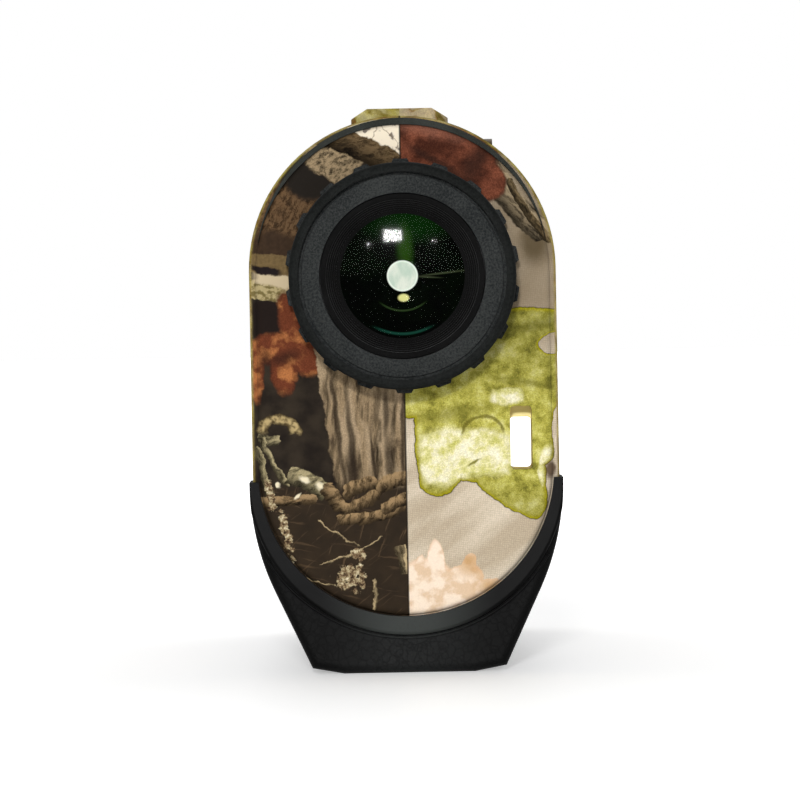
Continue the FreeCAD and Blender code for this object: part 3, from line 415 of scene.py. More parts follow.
def left_crest(s, place, point, torn, colour):
    """Bark, a pale broken edge and a branch, on the upper left."""
    furry = wood(s, torn, 62.0, 2.0, tone(98, 75, 52), 1.6)
    umber = s.mix(s.noise(point, 1.4, 4.0), tone(66, 50, 36), tone(36, 27, 21))
    crust = wood(s, wander(s, point, 0.8, 0.9), 30.0, 1.6, tone(150, 130, 100), 1.9)
    tan = s.mix(s.noise(point, 2.2, 4.0), tone(120, 100, 66), tone(70, 56, 36))
    straw = s.mix(s.step(s.noise(point, 1.4, 4.0), 0.40, 0.56), tone(104, 92, 56), tone(158, 144, 104))
    pale = s.mix(s.step(s.noise(point, 0.7, 3.0), 0.36, 0.44), tone(118, 108, 98), tone(222, 210, 188))
    layers = ((blobs, (-15.6, 62.2, 4.9, 6.6, -25), furry, 0.1),
              (blobs, (-17.2, 58.6, 4.4, 2.4, -10), umber, 0.3),
              (blobs, (-13.0, 68.4, 3.8, 2.9, -38), tone(32, 28, 24), 0.25),
              (slabs, (-9.2, 70.9, 3.9, 2.9, -28), crust, 0.08),
              (slabs, (-17.0, 56.2, 5.6, 1.5, -8), tan, 0.06),
              (slabs, (-17.4, 52.9, 5.6, 1.4, -6), straw, 0.06),
              (slabs, (-16.8, 54.2, 3.6, 0.85, -9), tone(180, 164, 134), 0.2),
              (blobs, (-18.9, 55.7, 2.2, 0.5, -10), tone(30, 24, 24), 0.3),
              (slabs, (-3.4, 73.9, 4.4, 2.7, -10), pale, 0.06))
    for outline, shape, paint, soft in layers:
        colour = painted(s, colour, outline(s, torn, shape), paint, soft)
    cracks = s.step(s.cells(torn, 0.26, "DISTANCE_TO_EDGE"), 0.03, 0.005, 0.0, 0.6)
    in_pale = inside(s, slabs(s, torn, (-3.4, 73.9, 4.2, 2.5, -10)))
    colour = s.mix(s.times(cracks, in_pale), colour, BARK_MID)
    return sticks(s, colour, torn, tone(96, 78, 54), (-5.4, 72.3, -26.0, 8.4, 1.75, -0.012, 24.0))


def left_leaf(s, place, point, torn, colour):
    """The rust-coloured leaf and the dark gap over it."""
    colour = painted(s, colour, slabs(s, torn, (-18.6, 49.0, 2.8, 2.6, 0)), tone(30, 23, 20), 0.1)
    field = s.least(slabs(s, torn, (-14.8, 48.8, 2.2, 4.4, 8)),
                    blobs(s, torn, (-17.6, 45.0, 4.6, 2.2, 8), (-16.6, 42.0, 1.9, 3.5, 6),
                          (-13.4, 43.8, 3.0, 2.6, -38), (-20.4, 41.4, 1.1, 4.0, 0)))
    glow = s.mix(s.step(s.noise(torn, 0.42, 3.0), 0.46, 0.66), tone(104, 54, 34), tone(168, 106, 62))
    dusky = inside(s, blobs(s, torn, (-16.6, 43.6, 2.2, 0.9, 14), (-19.0, 43.2, 0.8, 1.8, 0)), 0.8)
    glow = s.mix(s.times(dusky, 0.8), glow, RUST_DARK)
    glow = s.mix(s.step(field, 0.72, 1.0, 0.0, 0.55), glow, RUST_DARK)
    return painted(s, colour, field, speckle(s, place, glow, 0.35), 0.12)


def left_trunk(s, place, point, torn, colour):
    """A grooved grey-tan trunk beside the seam."""
    edge = s.parts(local(s, torn, -10.7, 33.5, -82.0))
    trunk = s.times(s.step(edge[1], -0.15, 0.15), s.step(s.parts(torn)[1], 24.6, 25.4))
    trunk = s.times(trunk, s.step(s.parts(torn)[1], 45.0, 44.0))
    run = wander(s, point, 1.0, 0.22)
    bark = wood(s, run, 86.0, 9.0, tone(152, 130, 100), 0.62)
    broad = s.noise(s.vector("MULTIPLY", run, (0.55, 0.10, 1.0)), 1.0, 2.0)
    bark = s.mix(s.step(broad, 0.46, 0.60, 0.0, 0.85), bark, tone(170, 148, 118))
    bark = s.mix(s.step(broad, 0.44, 0.34, 0.0, 0.75), bark, BARK_DARK)
    grooves = ((-9.3, 34.0, 8.4, 0.34, -84.0), (-7.5, 32.0, 7.0, 0.42, -86.0), (-7.3, 27.6, 3.6, 0.85, -88.0),
               (-2.7, 36.0, 3.6, 0.42, -89.0), (-2.2, 29.2, 3.2, 0.62, -90.0), (-4.4, 29.0, 4.4, 0.22, -84.0),
               (-0.3, 34.0, 9.0, 0.30, -90.0))
    for groove in grooves:
        bark = s.mix(s.times(inside(s, blobs(s, run, groove), 0.6), 0.8), bark, tone(44, 35, 27))
    return s.mix(trunk, colour, speckle(s, place, bark, 0.35))


def left_foot(s, place, point, torn, colour):
    """Twisted vines, twigs, lichen and dark grass at the bottom left."""
    low = s.step(s.parts(torn)[1], 26.6, 25.2)
    colour = s.mix(low, colour, grass(s, point))
    curl = s.vector("MULTIPLY", s.vector("SUBTRACT", torn, (-17.4, 33.4, 0.0)), (0.36, 0.42, 0.0))
    hook = s.apart(s.length(curl), 0.84)
    shown = s.step(s.parts(curl)[1], -0.2, 0.1)
    hook_bark = s.mix(s.step(s.noise(point, 1.5, 4.0), 0.3, 0.62), tone(80, 66, 42), tone(166, 146, 102))
    hook_bark = s.mix(s.step(hook, 0.10, 0.30), hook_bark, tone(60, 50, 32))
    colour = s.mix(s.times(s.step(hook, 0.32, 0.26), shown), colour, hook_bark)
    colour = sticks(s, colour, torn, tone(150, 138, 104),
                    (-18.8, 32.4, -4.0, 1.8, 0.55, 0.0, 20.0), (-18.3, 29.2, -62.0, 4.0, 0.42, 0.03, 0.0),
                    (-19.6, 28.0, -78.0, 3.8, 0.5, 0.0, 0.0), (-13.4, 26.6, -28.0, 3.3, 1.25, -0.05, 50.0))
    colour = sticks(s, colour, torn, tone(136, 112, 80),
                    (-16.4, 24.0, 2.0, 4.4, 0.7, 0.0, 12.0), (-9.6, 23.8, -48.0, 2.9, 1.0, 0.05, 60.0),
                    (-4.8, 21.6, 12.0, 5.2, 0.8, 0.03, 40.0), (-6.0, 23.6, 28.0, 2.8, 0.85, 0.05, 60.0),
                    (-1.4, 23.6, 20.0, 2.4, 0.85, -0.05, 60.0), (-6.4, 25.9, 16.0, 2.6, 0.95, -0.08, 60.0),
                    (-1.9, 26.4, 18.0, 2.6, 0.95, -0.05, 60.0))
    colour = sticks(s, colour, torn, tone(168, 148, 112),
                    (-4.5, 10.9, 86.0, 2.3, 0.30, 0.02, 0.0), (-0.7, 15.7, -74.0, 2.2, 0.7, 0.04, 0.0),
                    (-7.5, 16.6, 22.0, 5.0, 0.14, 0.02, 0.0), (-12.0, 12.6, -14.0, 4.0, 0.12, 0.02, 0.0),
                    (-9.5, 19.2, -34.0, 3.6, 0.12, 0.03, 0.0))
    colour = lichen(s, colour, point, (-7.9, 13.3, 1.9, 1.7, 0), (-6.6, 16.4, 1.0, 0.8, 20),
                    (-16.6, 19.6, 0.7, 3.0, 12), (-18.6, 24.6, 0.6, 2.4, 8))
    spots = inside(s, blobs(s, torn, (-14.1, 26.9, 0.7, 0.4, -20), (-11.9, 25.9, 0.6, 0.45, -30),
                            (-17.6, 26.3, 0.28, 0.4, 0), (-14.9, 24.7, 0.5, 0.22, 30)), 0.5)
    return s.mix(spots, colour, tone(214, 202, 172))


def left_panel(s, place, point):
    """The left half of the rear panel."""
    torn = wander(s, wander(s, point, 1.3, 0.5), 0.45, 2.0)
    colour = s.mix(s.step(s.noise(point, 0.35, 4.0), 0.3, 0.7), tone(30, 25, 21), tone(47, 40, 32))
    return painted_in_turn(s, place, point, torn, colour, (left_crest, left_leaf, left_trunk, left_foot))


def right_crest(s, place, point, torn, colour):
    """A rust leaf, a twig and an olive shadow on the upper right."""
    # The olive shadow, painted as a darker olive patch.
    smudge = inside(s, blobs(s, torn, (18.2, 58.8, 1.9, 2.8, 0), (20.0, 62.4, 0.9, 2.6, 10)), 0.6)
    colour = s.mix(s.times(smudge, 0.85), colour, tone(74, 62, 42))
    colour = sticks(s, colour, torn, tone(140, 124, 98), (15.2, 64.4, -52.0, 7.2, 1.7, 0.02, 8.0))
    colour = sticks(s, colour, torn, tone(104, 88, 62), (17.2, 63.0, -56.0, 5.6, 0.5, 0.02, 0.0))
    field = s.least(slabs(s, torn, (5.0, 71.6, 8.6, 4.6, -12)), blobs(s, torn, (10.4, 68.2, 4.4, 3.2, -38)))
    cloud = s.noise(point, 0.34, 4.0, 0.55)
    rust = s.mix(s.step(cloud, 0.36, 0.64), tone(72, 38, 26), tone(124, 70, 50))
    lit = inside(s, blobs(s, torn, (4.0, 75.6, 8.0, 1.6, -14)), 0.7)
    rust = s.mix(s.times(lit, 0.6), rust, tone(160, 106, 86))
    vein = inside(s, blobs(s, torn, (10.4, 70.2, 1.3, 4.4, -32), (5.2, 70.0, 4.6, 0.6, -30)), 0.7)
    rust = s.mix(s.times(vein, 0.75), rust, tone(46, 30, 24))
    rust = s.mix(s.step(field, 0.86, 1.0, 0.0, 0.5), rust, tone(50, 30, 22))
    return painted(s, colour, field, speckle(s, place, rust, 0.45))


def right_pale_leaf(s, place, point, torn, colour):
    """The peach-coloured leaf tip at the bottom right."""
    field = blobs(s, torn, (2.6, 11.2, 4.6, 4.6, 10), (3.9, 14.6, 1.3, 3.8, 2), (1.4, 13.6, 0.9, 2.6, -12),
                  (7.0, 12.0, 3.6, 2.6, 24), (8.2, 14.6, 0.9, 1.9, -24), (10.0, 10.8, 3.4, 1.6, 24))
    pale = s.mix(s.step(s.noise(point, 0.4, 3.0), 0.45, 0.6), tone(232, 213, 192), tone(212, 184, 154))
    tinge = inside(s, blobs(s, torn, (8.6, 15.0, 1.8, 1.7, 20), (11.4, 11.6, 1.8, 1.6, 0)), 0.8)
    pale = s.mix(s.times(tinge, 0.8), pale, tone(186, 144, 92))
    pale = s.mix(s.step(field, 0.82, 1.0, 0.0, 0.5), pale, tone(206, 164, 126))
    return painted(s, colour, field, speckle(s, place, pale, 0.1))


def oak_outline(s, torn):
    """How deep in the big leaf a point is: under 1 inside its lobes and outside its notches."""
    body = s.least(patch(s, torn, (-2.0, 35.0), (24.0, 35.0), (24.0, 49.6), (-2.0, 50.8)),
                   patch(s, torn, (1.3, 29.0), (1.9, 25.4), (3.9, 24.0), (6.4, 24.8), (8.6, 28.0),
                         (8.6, 38.0), (1.3, 38.0)))
    body = s.least(body, patch(s, torn, (7.0, 26.4), (9.8, 25.8), (18.4, 27.4), (20.5, 29.4),
                               (20.5, 40.0), (7.0, 40.0)))
    body = s.least(body, patch(s, torn, (7.5, 28.6), (9.4, 25.8), (12.0, 23.6), (15.0, 21.7), (18.2, 20.8),
                               (19.3, 22.4), (19.2, 28.4), (12.0, 33.0)))
    holes = blobs(s, torn, (20.9, 44.9, 2.4, 1.5, 8), (21.4, 33.0, 1.3, 3.4, 0))
    return s.most(body, s.less(2.0, holes))


def oak_blade(s, point, torn):
    """The big leaf's mottled green with its cream patches, vein and shadows, and painted shade towards its
    top.
    """
    mottle = s.noise(point, 0.42, 5.0, 0.65)
    grain = s.noise(point, 5.5, 3.0, 0.8)
    blade = s.ramp(s.add(s.times(mottle, 0.72), s.times(grain, 0.28)), (0.38, tone(112, 108, 42)),
                   (0.47, tone(164, 158, 66)), (0.54, tone(190, 184, 92)), (0.64, tone(216, 210, 136)))
    cream = s.ramp(s.add(s.times(mottle, 0.8), s.times(grain, 0.2)), (0.38, tone(196, 192, 104)),
                   (0.46, tone(222, 216, 152)), (0.54, tone(238, 231, 196)), (0.66, tone(246, 242, 222)))
    in_cream = slabs(s, wander(s, point, 2.4, 0.35), (5.2, 29.4, 3.4, 3.7, 0), (9.6, 30.0, 5.0, 3.0, 0),
                     (14.0, 37.8, 2.2, 1.1, 0), (19.4, 28.4, 1.0, 2.4, 0))
    blade = s.mix(s.times(inside(s, in_cream, 0.22), 0.92), blade, cream)
    arch = s.length(s.vector("MULTIPLY", s.vector("SUBTRACT", torn, (10.6, 31.8, 0.0)),
                                       (0.30, 0.27, 0.0)))
    vein = s.times(s.step(s.apart(arch, 0.92), 0.10, 0.02), s.step(s.parts(torn)[1], 32.2, 33.4, 0.0, 0.8))
    blade = s.mix(vein, blade, tone(104, 96, 34))
    shade = inside(s, blobs(s, torn, (17.0, 47.2, 5.4, 0.7, 12), (6.0, 35.6, 5.0, 0.9, 8),
                            (17.0, 39.6, 4.4, 0.5, -10)), 0.9)
    blade = s.mix(s.times(shade, 0.6), blade, tone(110, 106, 40))
    blade = s.mix(inside(s, blobs(s, torn, (9.3, 28.8, 1.0, 0.18, 28)), 0.5), blade, tone(132, 128, 60))
    # Painted shade darkens the leaf towards the top; it is also darker towards the bottom.
    height = s.parts(point)[1]
    painted_shade_by_height = s.times(s.step(height, 34.0, 46.0, 1.0, 0.62), s.step(height, 22.0, 28.0, 0.72, 1.0))
    return s.shaded(blade, painted_shade_by_height)


def oak_leaf(s, place, point, torn, colour):
    """The big olive leaf: mottled above, cream below, with a dark yellow outline."""
    depth = oak_outline(s, torn)
    blade = oak_blade(s, point, torn)
    blade = s.mix(s.step(depth, 0.80, 0.96, 0.0, 0.9), blade, tone(150, 142, 22))
    blade = s.mix(s.step(depth, 0.955, 0.99), blade, tone(84, 78, 20))
    colour = s.mix(s.step(depth, 1.05, 1.0, 0.0, 0.35), colour, BARK_DARK)
    colour = s.mix(s.step(depth, 1.012, 0.992), colour, speckle(s, place, blade, 0.3))
    bitten = inside(s, blobs(s, torn, (19.8, 27.6, 0.7, 1.2, -10)), 0.4)
    return s.mix(s.times(bitten, 0.9), colour, tone(74, 54, 36))


def right_panel(s, place, point):
    """The right half of the rear panel: cloth-like ground and three leaves, with painted shade darkening the
    ground towards the top.
    """
    torn = wander(s, wander(s, point, 0.9, 0.45), 0.35, 1.6)
    height = s.parts(point)[1]
    # Painted shade: the ground darkens towards the top.
    colour = s.mix(s.step(height, 34.0, 52.0, 0.0, 0.72), weave(s, place, point), tone(98, 82, 58))
    return painted_in_turn(s, place, point, torn, colour, (right_crest, right_pale_leaf, oak_leaf))


def scattered_leaves(s, place, below, point, size, colours, seed):
    """Leaves of one kind strewn about, each turned its own way."""
    rim, body, heart = colours
    moved = s.vector("ADD", point, (seed * 17.0, seed * 31.0, 0.0))
    cell = s.grouped("TexVoronoi", {"Vector": moved, "Scale": 1.0 / size, "Randomness": 0.75},
                     ["Position", "Color"], voronoi_dimensions="2D")
    chance = s.parts(cell["Color"])
    offset = s.vector("SUBTRACT", moved, cell["Position"])
    turned = s.turned_by(offset, s.times(chance[0], math.tau))
    axes = s.parts(s.vector("ADD", turned, s.scaled(s.noise_vector(point, 0.5, 4.0), size * 0.18)))
    along = s.math("DIVIDE", axes[0], size * 0.46)
    taper = s.math("SQRT", s.most(s.less(1.0, s.times(along, along)), 0.0))
    lobes = s.add(0.72, s.times(s.math("COSINE", s.times(along, 9.0)), 0.28))
    half = s.times(s.times(taper, lobes), size * 0.24)
    field = s.math("DIVIDE", s.size(axes[1]), s.most(half, 0.001))
    vein = s.step(s.size(axes[1]), 0.3, 0.08, 0.0, 0.6)
    blade = s.mix(s.step(s.noise(point, 0.45, 4.0), 0.4, 0.62), body, heart)
    blade = s.mix(s.step(field, 0.7, 1.0), s.mix(vein, blade, rim), rim)
    present = s.step(chance[1], 0.3, 0.34)
    mask = s.times(s.step(field, 1.04, 0.94), s.times(s.step(half, 0.0, 0.3), present))
    return s.mix(mask, below, speckle(s, place, blade, 0.3))


def scattered_branches(s, below, point, angle, seed):
    """Branches strewn about that all lie one way, in lanes with gaps."""
    moved = s.vector("ADD", point, (seed * 7.0, seed * 11.0, 0.0))
    run = s.parts(s.turned(wander(s, moved, 3.0, 0.08), angle))
    lane = s.math("PINGPONG", run[1], 13.0)
    across = s.math("DIVIDE", s.less(lane, 5.0), 1.1)
    gaps = s.step(s.noise(s.joined(s.times(run[0], 0.05), s.times(run[1], 0.02)), 1.0, 1.0), 0.47, 0.5)
    mask = s.times(s.step(s.size(across), 1.05, 0.9), gaps)
    rounded = s.step(across, -1.0, 0.7, 0.25, 1.1)
    return s.mix(mask, below, s.shaded(wood(s, point, angle, 4.0, tone(188, 164, 126), 1.5), rounded))


def side_print(s, place, point, painted_highlight=0.0):
    """The print round the sides, top and front: trunks, grass, cloth and strewn leaves.
    A painted golden highlight covers it by painted_highlight, and beside the rear panel."""
    zone = s.noise(s.vector("MULTIPLY", point, (1.0, 0.7, 1.0)), 0.045, 3.0, 0.5)
    torn = wander(s, point, 2.2, 0.35)
    colour = weave(s, place, point)
    colour = s.mix(s.step(zone, 0.50, 0.515), colour, grass(s, torn, tone(128, 104, 72), 64.0))
    trunk_zone = s.noise(s.vector("MULTIPLY", torn, (0.06, 0.018, 1.0)), 1.0, 2.0)
    colour = s.mix(s.step(trunk_zone, 0.56, 0.575), colour, wood(s, torn, 84.0, 8.0, BARK_LIGHT, 0.7))
    colour = scattered_leaves(s, place, colour, point, 15.0, (RUST_DARK, RUST, ORANGE), 1.0)
    colour = scattered_branches(s, colour, point, 25.0, 2.0)
    colour = scattered_branches(s, colour, point, -38.0, 3.0)
    colour = scattered_leaves(s, place, colour, point, 24.0, (OLIVE_DARK, OLIVE, OLIVE_PALE), 4.0)
    colour = scattered_leaves(s, place, colour, point, 12.0, (tone(150, 104, 66), PEACH, CREAM), 6.0)
    # Painted highlight: a golden glow on the sides just beside the rear panel, and wherever painted_highlight
    # is set.
    gold = s.mix(s.step(s.noise(point, 0.5, 3.0), 0.4, 0.6), tone(132, 112, 48), tone(176, 160, 84))
    rim = s.step(s.parts(place)[1], PANEL_FACE + 8.0, PANEL_FACE + 3.0, 0.0, 0.85)
    return s.mix(s.most(rim, painted_highlight), colour, speckle(s, place, gold, 0.4))


def wrapped_point(s, place):
    """Where the print's sheet meets the side: along Y, and round the outline. Both also move
    with the distance from the middle, for the end faces and ledges."""
    x, y, z = s.parts(place)
    lift = s.less(z, EYE_HEIGHT)
    reach = s.most(s.size(x), 0.001)
    angle = s.math("ARCTAN2", s.most(lift, 0.0), reach)
    round_top = s.add(s.times(angle, 21.0), s.least(lift, 0.0))
    flipped = s.step(x, -0.01, 0.01, 83.0, 0.0)
    raised = s.length(s.joined(x, s.most(lift, 0.0)))
    around = s.add(s.add(round_top, EYE_HEIGHT), s.times(raised, 0.6))
    return s.joined(s.add(s.add(y, raised), flipped), around)


def camo_material(name, panel=None, painted_highlight=0.0):
    """The woodland print; a shell's rear panel has a picture of its own."""
    material, s, surface, place = new_material(name)
    x, y, z = s.parts(place)
    colour = side_print(s, place, wrapped_point(s, place), painted_highlight)
    seam = s.step(s.size(x), 0.17, 0.07)
    if panel:
        picture = panel(s, place, s.joined(x, z))
        colour = s.mix(s.step(y, PANEL_FACE + 1.5, PANEL_FACE + 1.2), colour, picture)
        colour = s.mix(s.times(seam, 0.85), colour, tone(26, 22, 18))
    if panel is right_panel:
        colour = slot_walls(s, place, y, colour)
    skin = s.noise(place, 9.0, 3.0, 0.6)
    roughness = s.add(s.times(s.noise(place, 0.6, 3.0), 0.14), 0.62)
    height = s.add(s.times(skin, 0.6), s.times(seam, -6.0))
    finish_surface(s, surface, colour, roughness, s.bump(height, 0.25, 0.05), Specular_IOR_Level=0.03)
    return material


def slot_walls(s, place, y, colour):
    """The print is a plain tan inside the strap slot."""
    slot_middle = (15.9, PANEL_FACE + 4.6, 32.1)
    in_slot = s.length(s.vector("MULTIPLY", s.vector("SUBTRACT", place, slot_middle),
                                          (1 / 2.2, 0.0, 1 / 5.4)))
    inner = s.times(s.step(in_slot, 1.0, 0.98), s.step(y, PANEL_FACE + 1.6, PANEL_FACE + 1.7))
    inner = s.times(inner, s.step(y, PANEL_FACE + 13.0, PANEL_FACE + 12.0))
    return s.mix(inner, colour, tone(236, 222, 160))


# ---- rubbers, plastics and small metals ----

def moulded(name, dark, light, grain, rough, relief, gloss):
    """Moulded plastic or rubber: speckled colour, a fine skin and patches of handling."""
    material, s, surface, place = new_material(name)
    speck = s.noise(place, grain, 3.0, 0.75)
    broad = s.noise(place, 0.12, 2.0)
    colour = s.mix(s.step(s.add(s.times(speck, 0.8), s.times(broad, 0.2)), 0.38, 0.62), dark, light)
    smudge = s.noise(place, 0.35, 4.0, 0.6)
    roughness = s.step(smudge, 0.3, 0.7, rough[0], rough[1])
    finish_surface(s, surface, colour, roughness, s.bump(speck, relief, 0.06),
                   Specular_IOR_Level=gloss)
    return material


def grip_material():
    """Rubber with a wrinkled leather grain, smooth on the rear lip, and a painted highlight towards the
    middle.
    """
    material, s, surface, place = new_material("grip_rubber")
    x, y = s.parts(place)[:2]
    warped = wander(s, wander(s, place, 1.1, 0.7), 0.5, 2.2)
    creases = s.cells(warped, 0.95, "DISTANCE_TO_EDGE")
    fold = s.step(creases, 0.0, 0.09)
    fine = s.noise(place, 3.0, 4.0, 0.6)
    grained = s.step(y, PANEL_FACE - 0.3, PANEL_FACE + 0.6)
    height = s.times(grained, s.add(fold, s.times(fine, 0.22)))
    # Painted highlight: the rubber is lighter towards the middle, most on the lip.
    middle = s.step(s.size(x), 13.0, 1.0)
    rubber = s.mix(middle, tone(13, 13, 13), s.mix(grained, tone(52, 55, 53), tone(27, 28, 28)))
    # Painted shade in the grain's creases, only towards the middle.
    colour = s.mix(s.times(s.times(grained, s.flip(fold)), s.times(middle, 0.6)), rubber, tone(12, 12, 12))
    # Painted sheen: lighter flecks of grain towards the middle.
    colour = s.mix(s.times(s.step(fine, 0.45, 0.75, 0.0, 0.4), middle), colour, tone(44, 45, 44))
    dust = s.noise(place, 0.3, 4.0, 0.6)
    roughness = s.add(s.step(grained, 0.0, 1.0, 0.40, 0.5), s.times(dust, 0.12))
    finish_surface(s, surface, colour, roughness, s.bump(height, 0.35, 0.1), Specular_IOR_Level=0.07)
    return material


def anodised():
    """Black anodised metal with the lathe's fine rings."""
    material, s, surface, place = new_material("anodised_black")
    axes = s.parts(place)
    radius = s.length(s.joined(axes[0], s.less(axes[2], EYE_HEIGHT)))
    rings = s.math("SINE", s.times(radius, 48.0))
    cloud = s.noise(place, 0.8, 3.0)
    colour = s.mix(cloud, tone(20, 20, 21), tone(34, 34, 36))
    roughness = s.add(s.times(rings, 0.05), s.add(s.times(cloud, 0.15), 0.3))
    finish_surface(s, surface, colour, roughness, s.bump(rings, 0.15, 0.02), Metallic=0.6)
    return material


def bare_metal(name, base, bright, scratch_angle=12.0, rough=0.24):
    """Plated or brushed metal with drawn-out scratches."""
    material, s, surface, place = new_material(name)
    run = s.vector("MULTIPLY", s.turned(place, scratch_angle), (0.4, 9.0, 9.0))
    scratches = s.noise(run, 1.2, 4.0, 0.7)
    stain = s.noise(place, 0.7, 3.0)
    colour = s.mix(s.add(s.times(scratches, 0.6), s.times(stain, 0.4)), base, bright)
    roughness = s.add(s.times(stain, 0.2), rough)
    finish_surface(s, surface, colour, roughness, s.bump(scratches, 0.2, 0.02), Metallic=1.0)
    return material


def battery_sleeve():
    """A plain dark metal sleeve with a lighter band and bare ends."""
    material, s, surface, place = new_material("battery_sleeve")
    bottom, top = (corner.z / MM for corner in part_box("battery"))
    z = s.parts(place)[2]
    share = s.step(z, bottom, top)
    scuff = s.noise(place, 1.4, 5.0, 0.65)
    colour = s.mix(s.step(z, top - 9.0, top - 8.9), tone(38, 46, 62), tone(168, 138, 74))
    bare = s.add(s.step(share, 0.985, 0.995), s.step(share, 0.01, 0.004))
    colour = s.mix(bare, colour, tone(190, 190, 188))
    colour = s.mix(s.step(scuff, 0.62, 0.8, 0.0, 0.4), colour, tone(150, 150, 150))
    roughness = s.step(scuff, 0.3, 0.7, 0.22, 0.4)
    finish_surface(s, surface, colour, roughness, s.bump(scuff, 0.1, 0.03), Metallic=0.75)
    return material


def circuit_board():
    """Green solder mask over copper tracks, with bare pads."""
    material, s, surface, place = new_material("circuit_green")
    y, z = s.parts(place)[1:]
    flat = s.joined(y, z)
    tracks = s.cells(flat, 0.5, "DISTANCE_TO_EDGE", jitter=0.25)
    track = s.step(tracks, 0.10, 0.06)
    pads = s.step(s.cells(flat, 0.45, jitter=0.35), 0.16, 0.13)
    cloud = s.noise(place, 0.8, 3.0)
    colour = s.mix(cloud, tone(14, 72, 40), tone(22, 96, 52))
    colour = s.mix(s.times(track, 0.6), colour, tone(60, 132, 70))
    colour = s.mix(pads, colour, tone(206, 176, 96))
    roughness = s.step(cloud, 0.3, 0.7, 0.25, 0.4)
    height = s.add(track, s.times(pads, 1.5))
    finish_surface(s, surface, colour, roughness, s.bump(height, 0.4, 0.04), Metallic=0.1)
    return material


def optical_glass(name, tint, coating, rough=0.0, reflected=(0.06, 0.09, 0.06), coat=0.0):
    """Coated glass: clear, slightly tinted, with a coloured sheen at slanting angles."""
    material, s, surface, place = new_material(name)
    smear = s.noise(place, 0.25, 4.0, 0.6)
    slant = s.node("LayerWeight")
    slant.inputs["Blend"].default_value = 0.35
    edge = s.step(slant.outputs["Facing"], 0.55, 1.0, 0.0, 0.8)
    colour = s.mix(edge, tint, coating)
    roughness = s.step(smear, 0.5, 0.8, rough, rough + 0.006)
    finish_surface(s, surface, colour, roughness, None, Transmission_Weight=1.0, IOR=1.52,
                   Specular_Tint=(*reflected, 1.0), Coat_Weight=coat, Coat_Roughness=0.05)
    return material


def painted_eyepiece_view():
    """The field seen through the eyepiece, all painted light that glows: black glass depths, green glow,
    painted reflections, bright exit pupil.
    """
    material, s, surface, place = new_material("painted_eyepiece_view")
    axes = s.parts(s.vector("SUBTRACT", place, (0.0, 0.0, EYE_HEIGHT)))
    z = axes[2]
    flat = s.joined(axes[0], z)
    radius = s.length(flat)
    haze = s.noise(flat, 0.22, 3.0, 0.55, 0.4)
    # Painted light: a green glow at the top, with a glowing column under it.
    glow_top = inside(s, blobs(s, flat, (0.8, 6.9, 4.8, 2.0, 0)), 0.7)
    column = inside(s, blobs(s, flat, (0.4, 3.6, 0.9, 2.6, 2)), 0.7)
    base = s.mix(s.step(haze, 0.35, 0.7), tone(1, 2, 1), tone(3, 8, 2))
    colour = s.mix(s.times(glow_top, 0.85), base, tone(8, 38, 6))
    colour = s.mix(s.times(column, 0.8), colour, tone(34, 66, 8))
    # Painted light: faint coloured arcs low in the field.
    arc = s.step(s.apart(radius, 7.7), 0.28, 0.05)
    arc_low = s.times(arc, s.step(z, -6.4, -7.4))
    colour = s.mix(s.times(arc_low, 0.5), colour, tone(30, 84, 70))
    inner_arc = s.step(s.apart(radius, 4.6), 0.2, 0.02)
    colour = s.mix(s.times(s.times(inner_arc, s.step(z, -3.2, -4.2)), 0.35), colour, tone(70, 92, 52))
    # Painted reflection: a lamp's ghost off the lens's rear surface.
    painted_ghost_reflection = inside(s, blobs(s, flat, (0.1, -2.9, 0.72, 0.5, 0)), 0.25)
    colour = s.mix(painted_ghost_reflection, colour, tone(236, 224, 150))
    # Painted reflection: faint grey-green streaks.
    painted_reflection_streak = inside(s, blobs(s, flat, (5.6, 0.3, 3.0, 0.12, 6), (3.2, -0.2, 1.6, 0.1, -4)), 0.8)
    colour = s.mix(s.times(painted_reflection_streak, 0.4), colour, tone(86, 92, 66))
    pupil_radius = 2.05
    pupil = s.step(radius, pupil_radius + 0.07, pupil_radius - 0.07)
    clouds = s.noise(s.vector("MULTIPLY", flat, (1.0, 0.5, 1.0)), 0.55, 3.0, 0.6)
    sky = s.mix(s.step(clouds, 0.35, 0.65), tone(206, 218, 206), tone(244, 240, 232))
    rim = s.step(s.apart(radius, pupil_radius - 0.12), 0.16, 0.04)
    colour = s.mix(pupil, colour, s.mix(s.times(rim, 0.8), sky, tone(252, 252, 246)))
    # The disc glows by this colour: painted light, not a lamp.
    finish_surface(s, surface, (0.0, 0.0, 0.0), s.step(haze, 0.3, 0.7, 0.9, 1.0), None,
                   Emission_Strength=1.0, Specular_IOR_Level=0.0)
    s.put(surface.inputs["Emission Color"], colour)
    return material


# ---- which node wears what ----

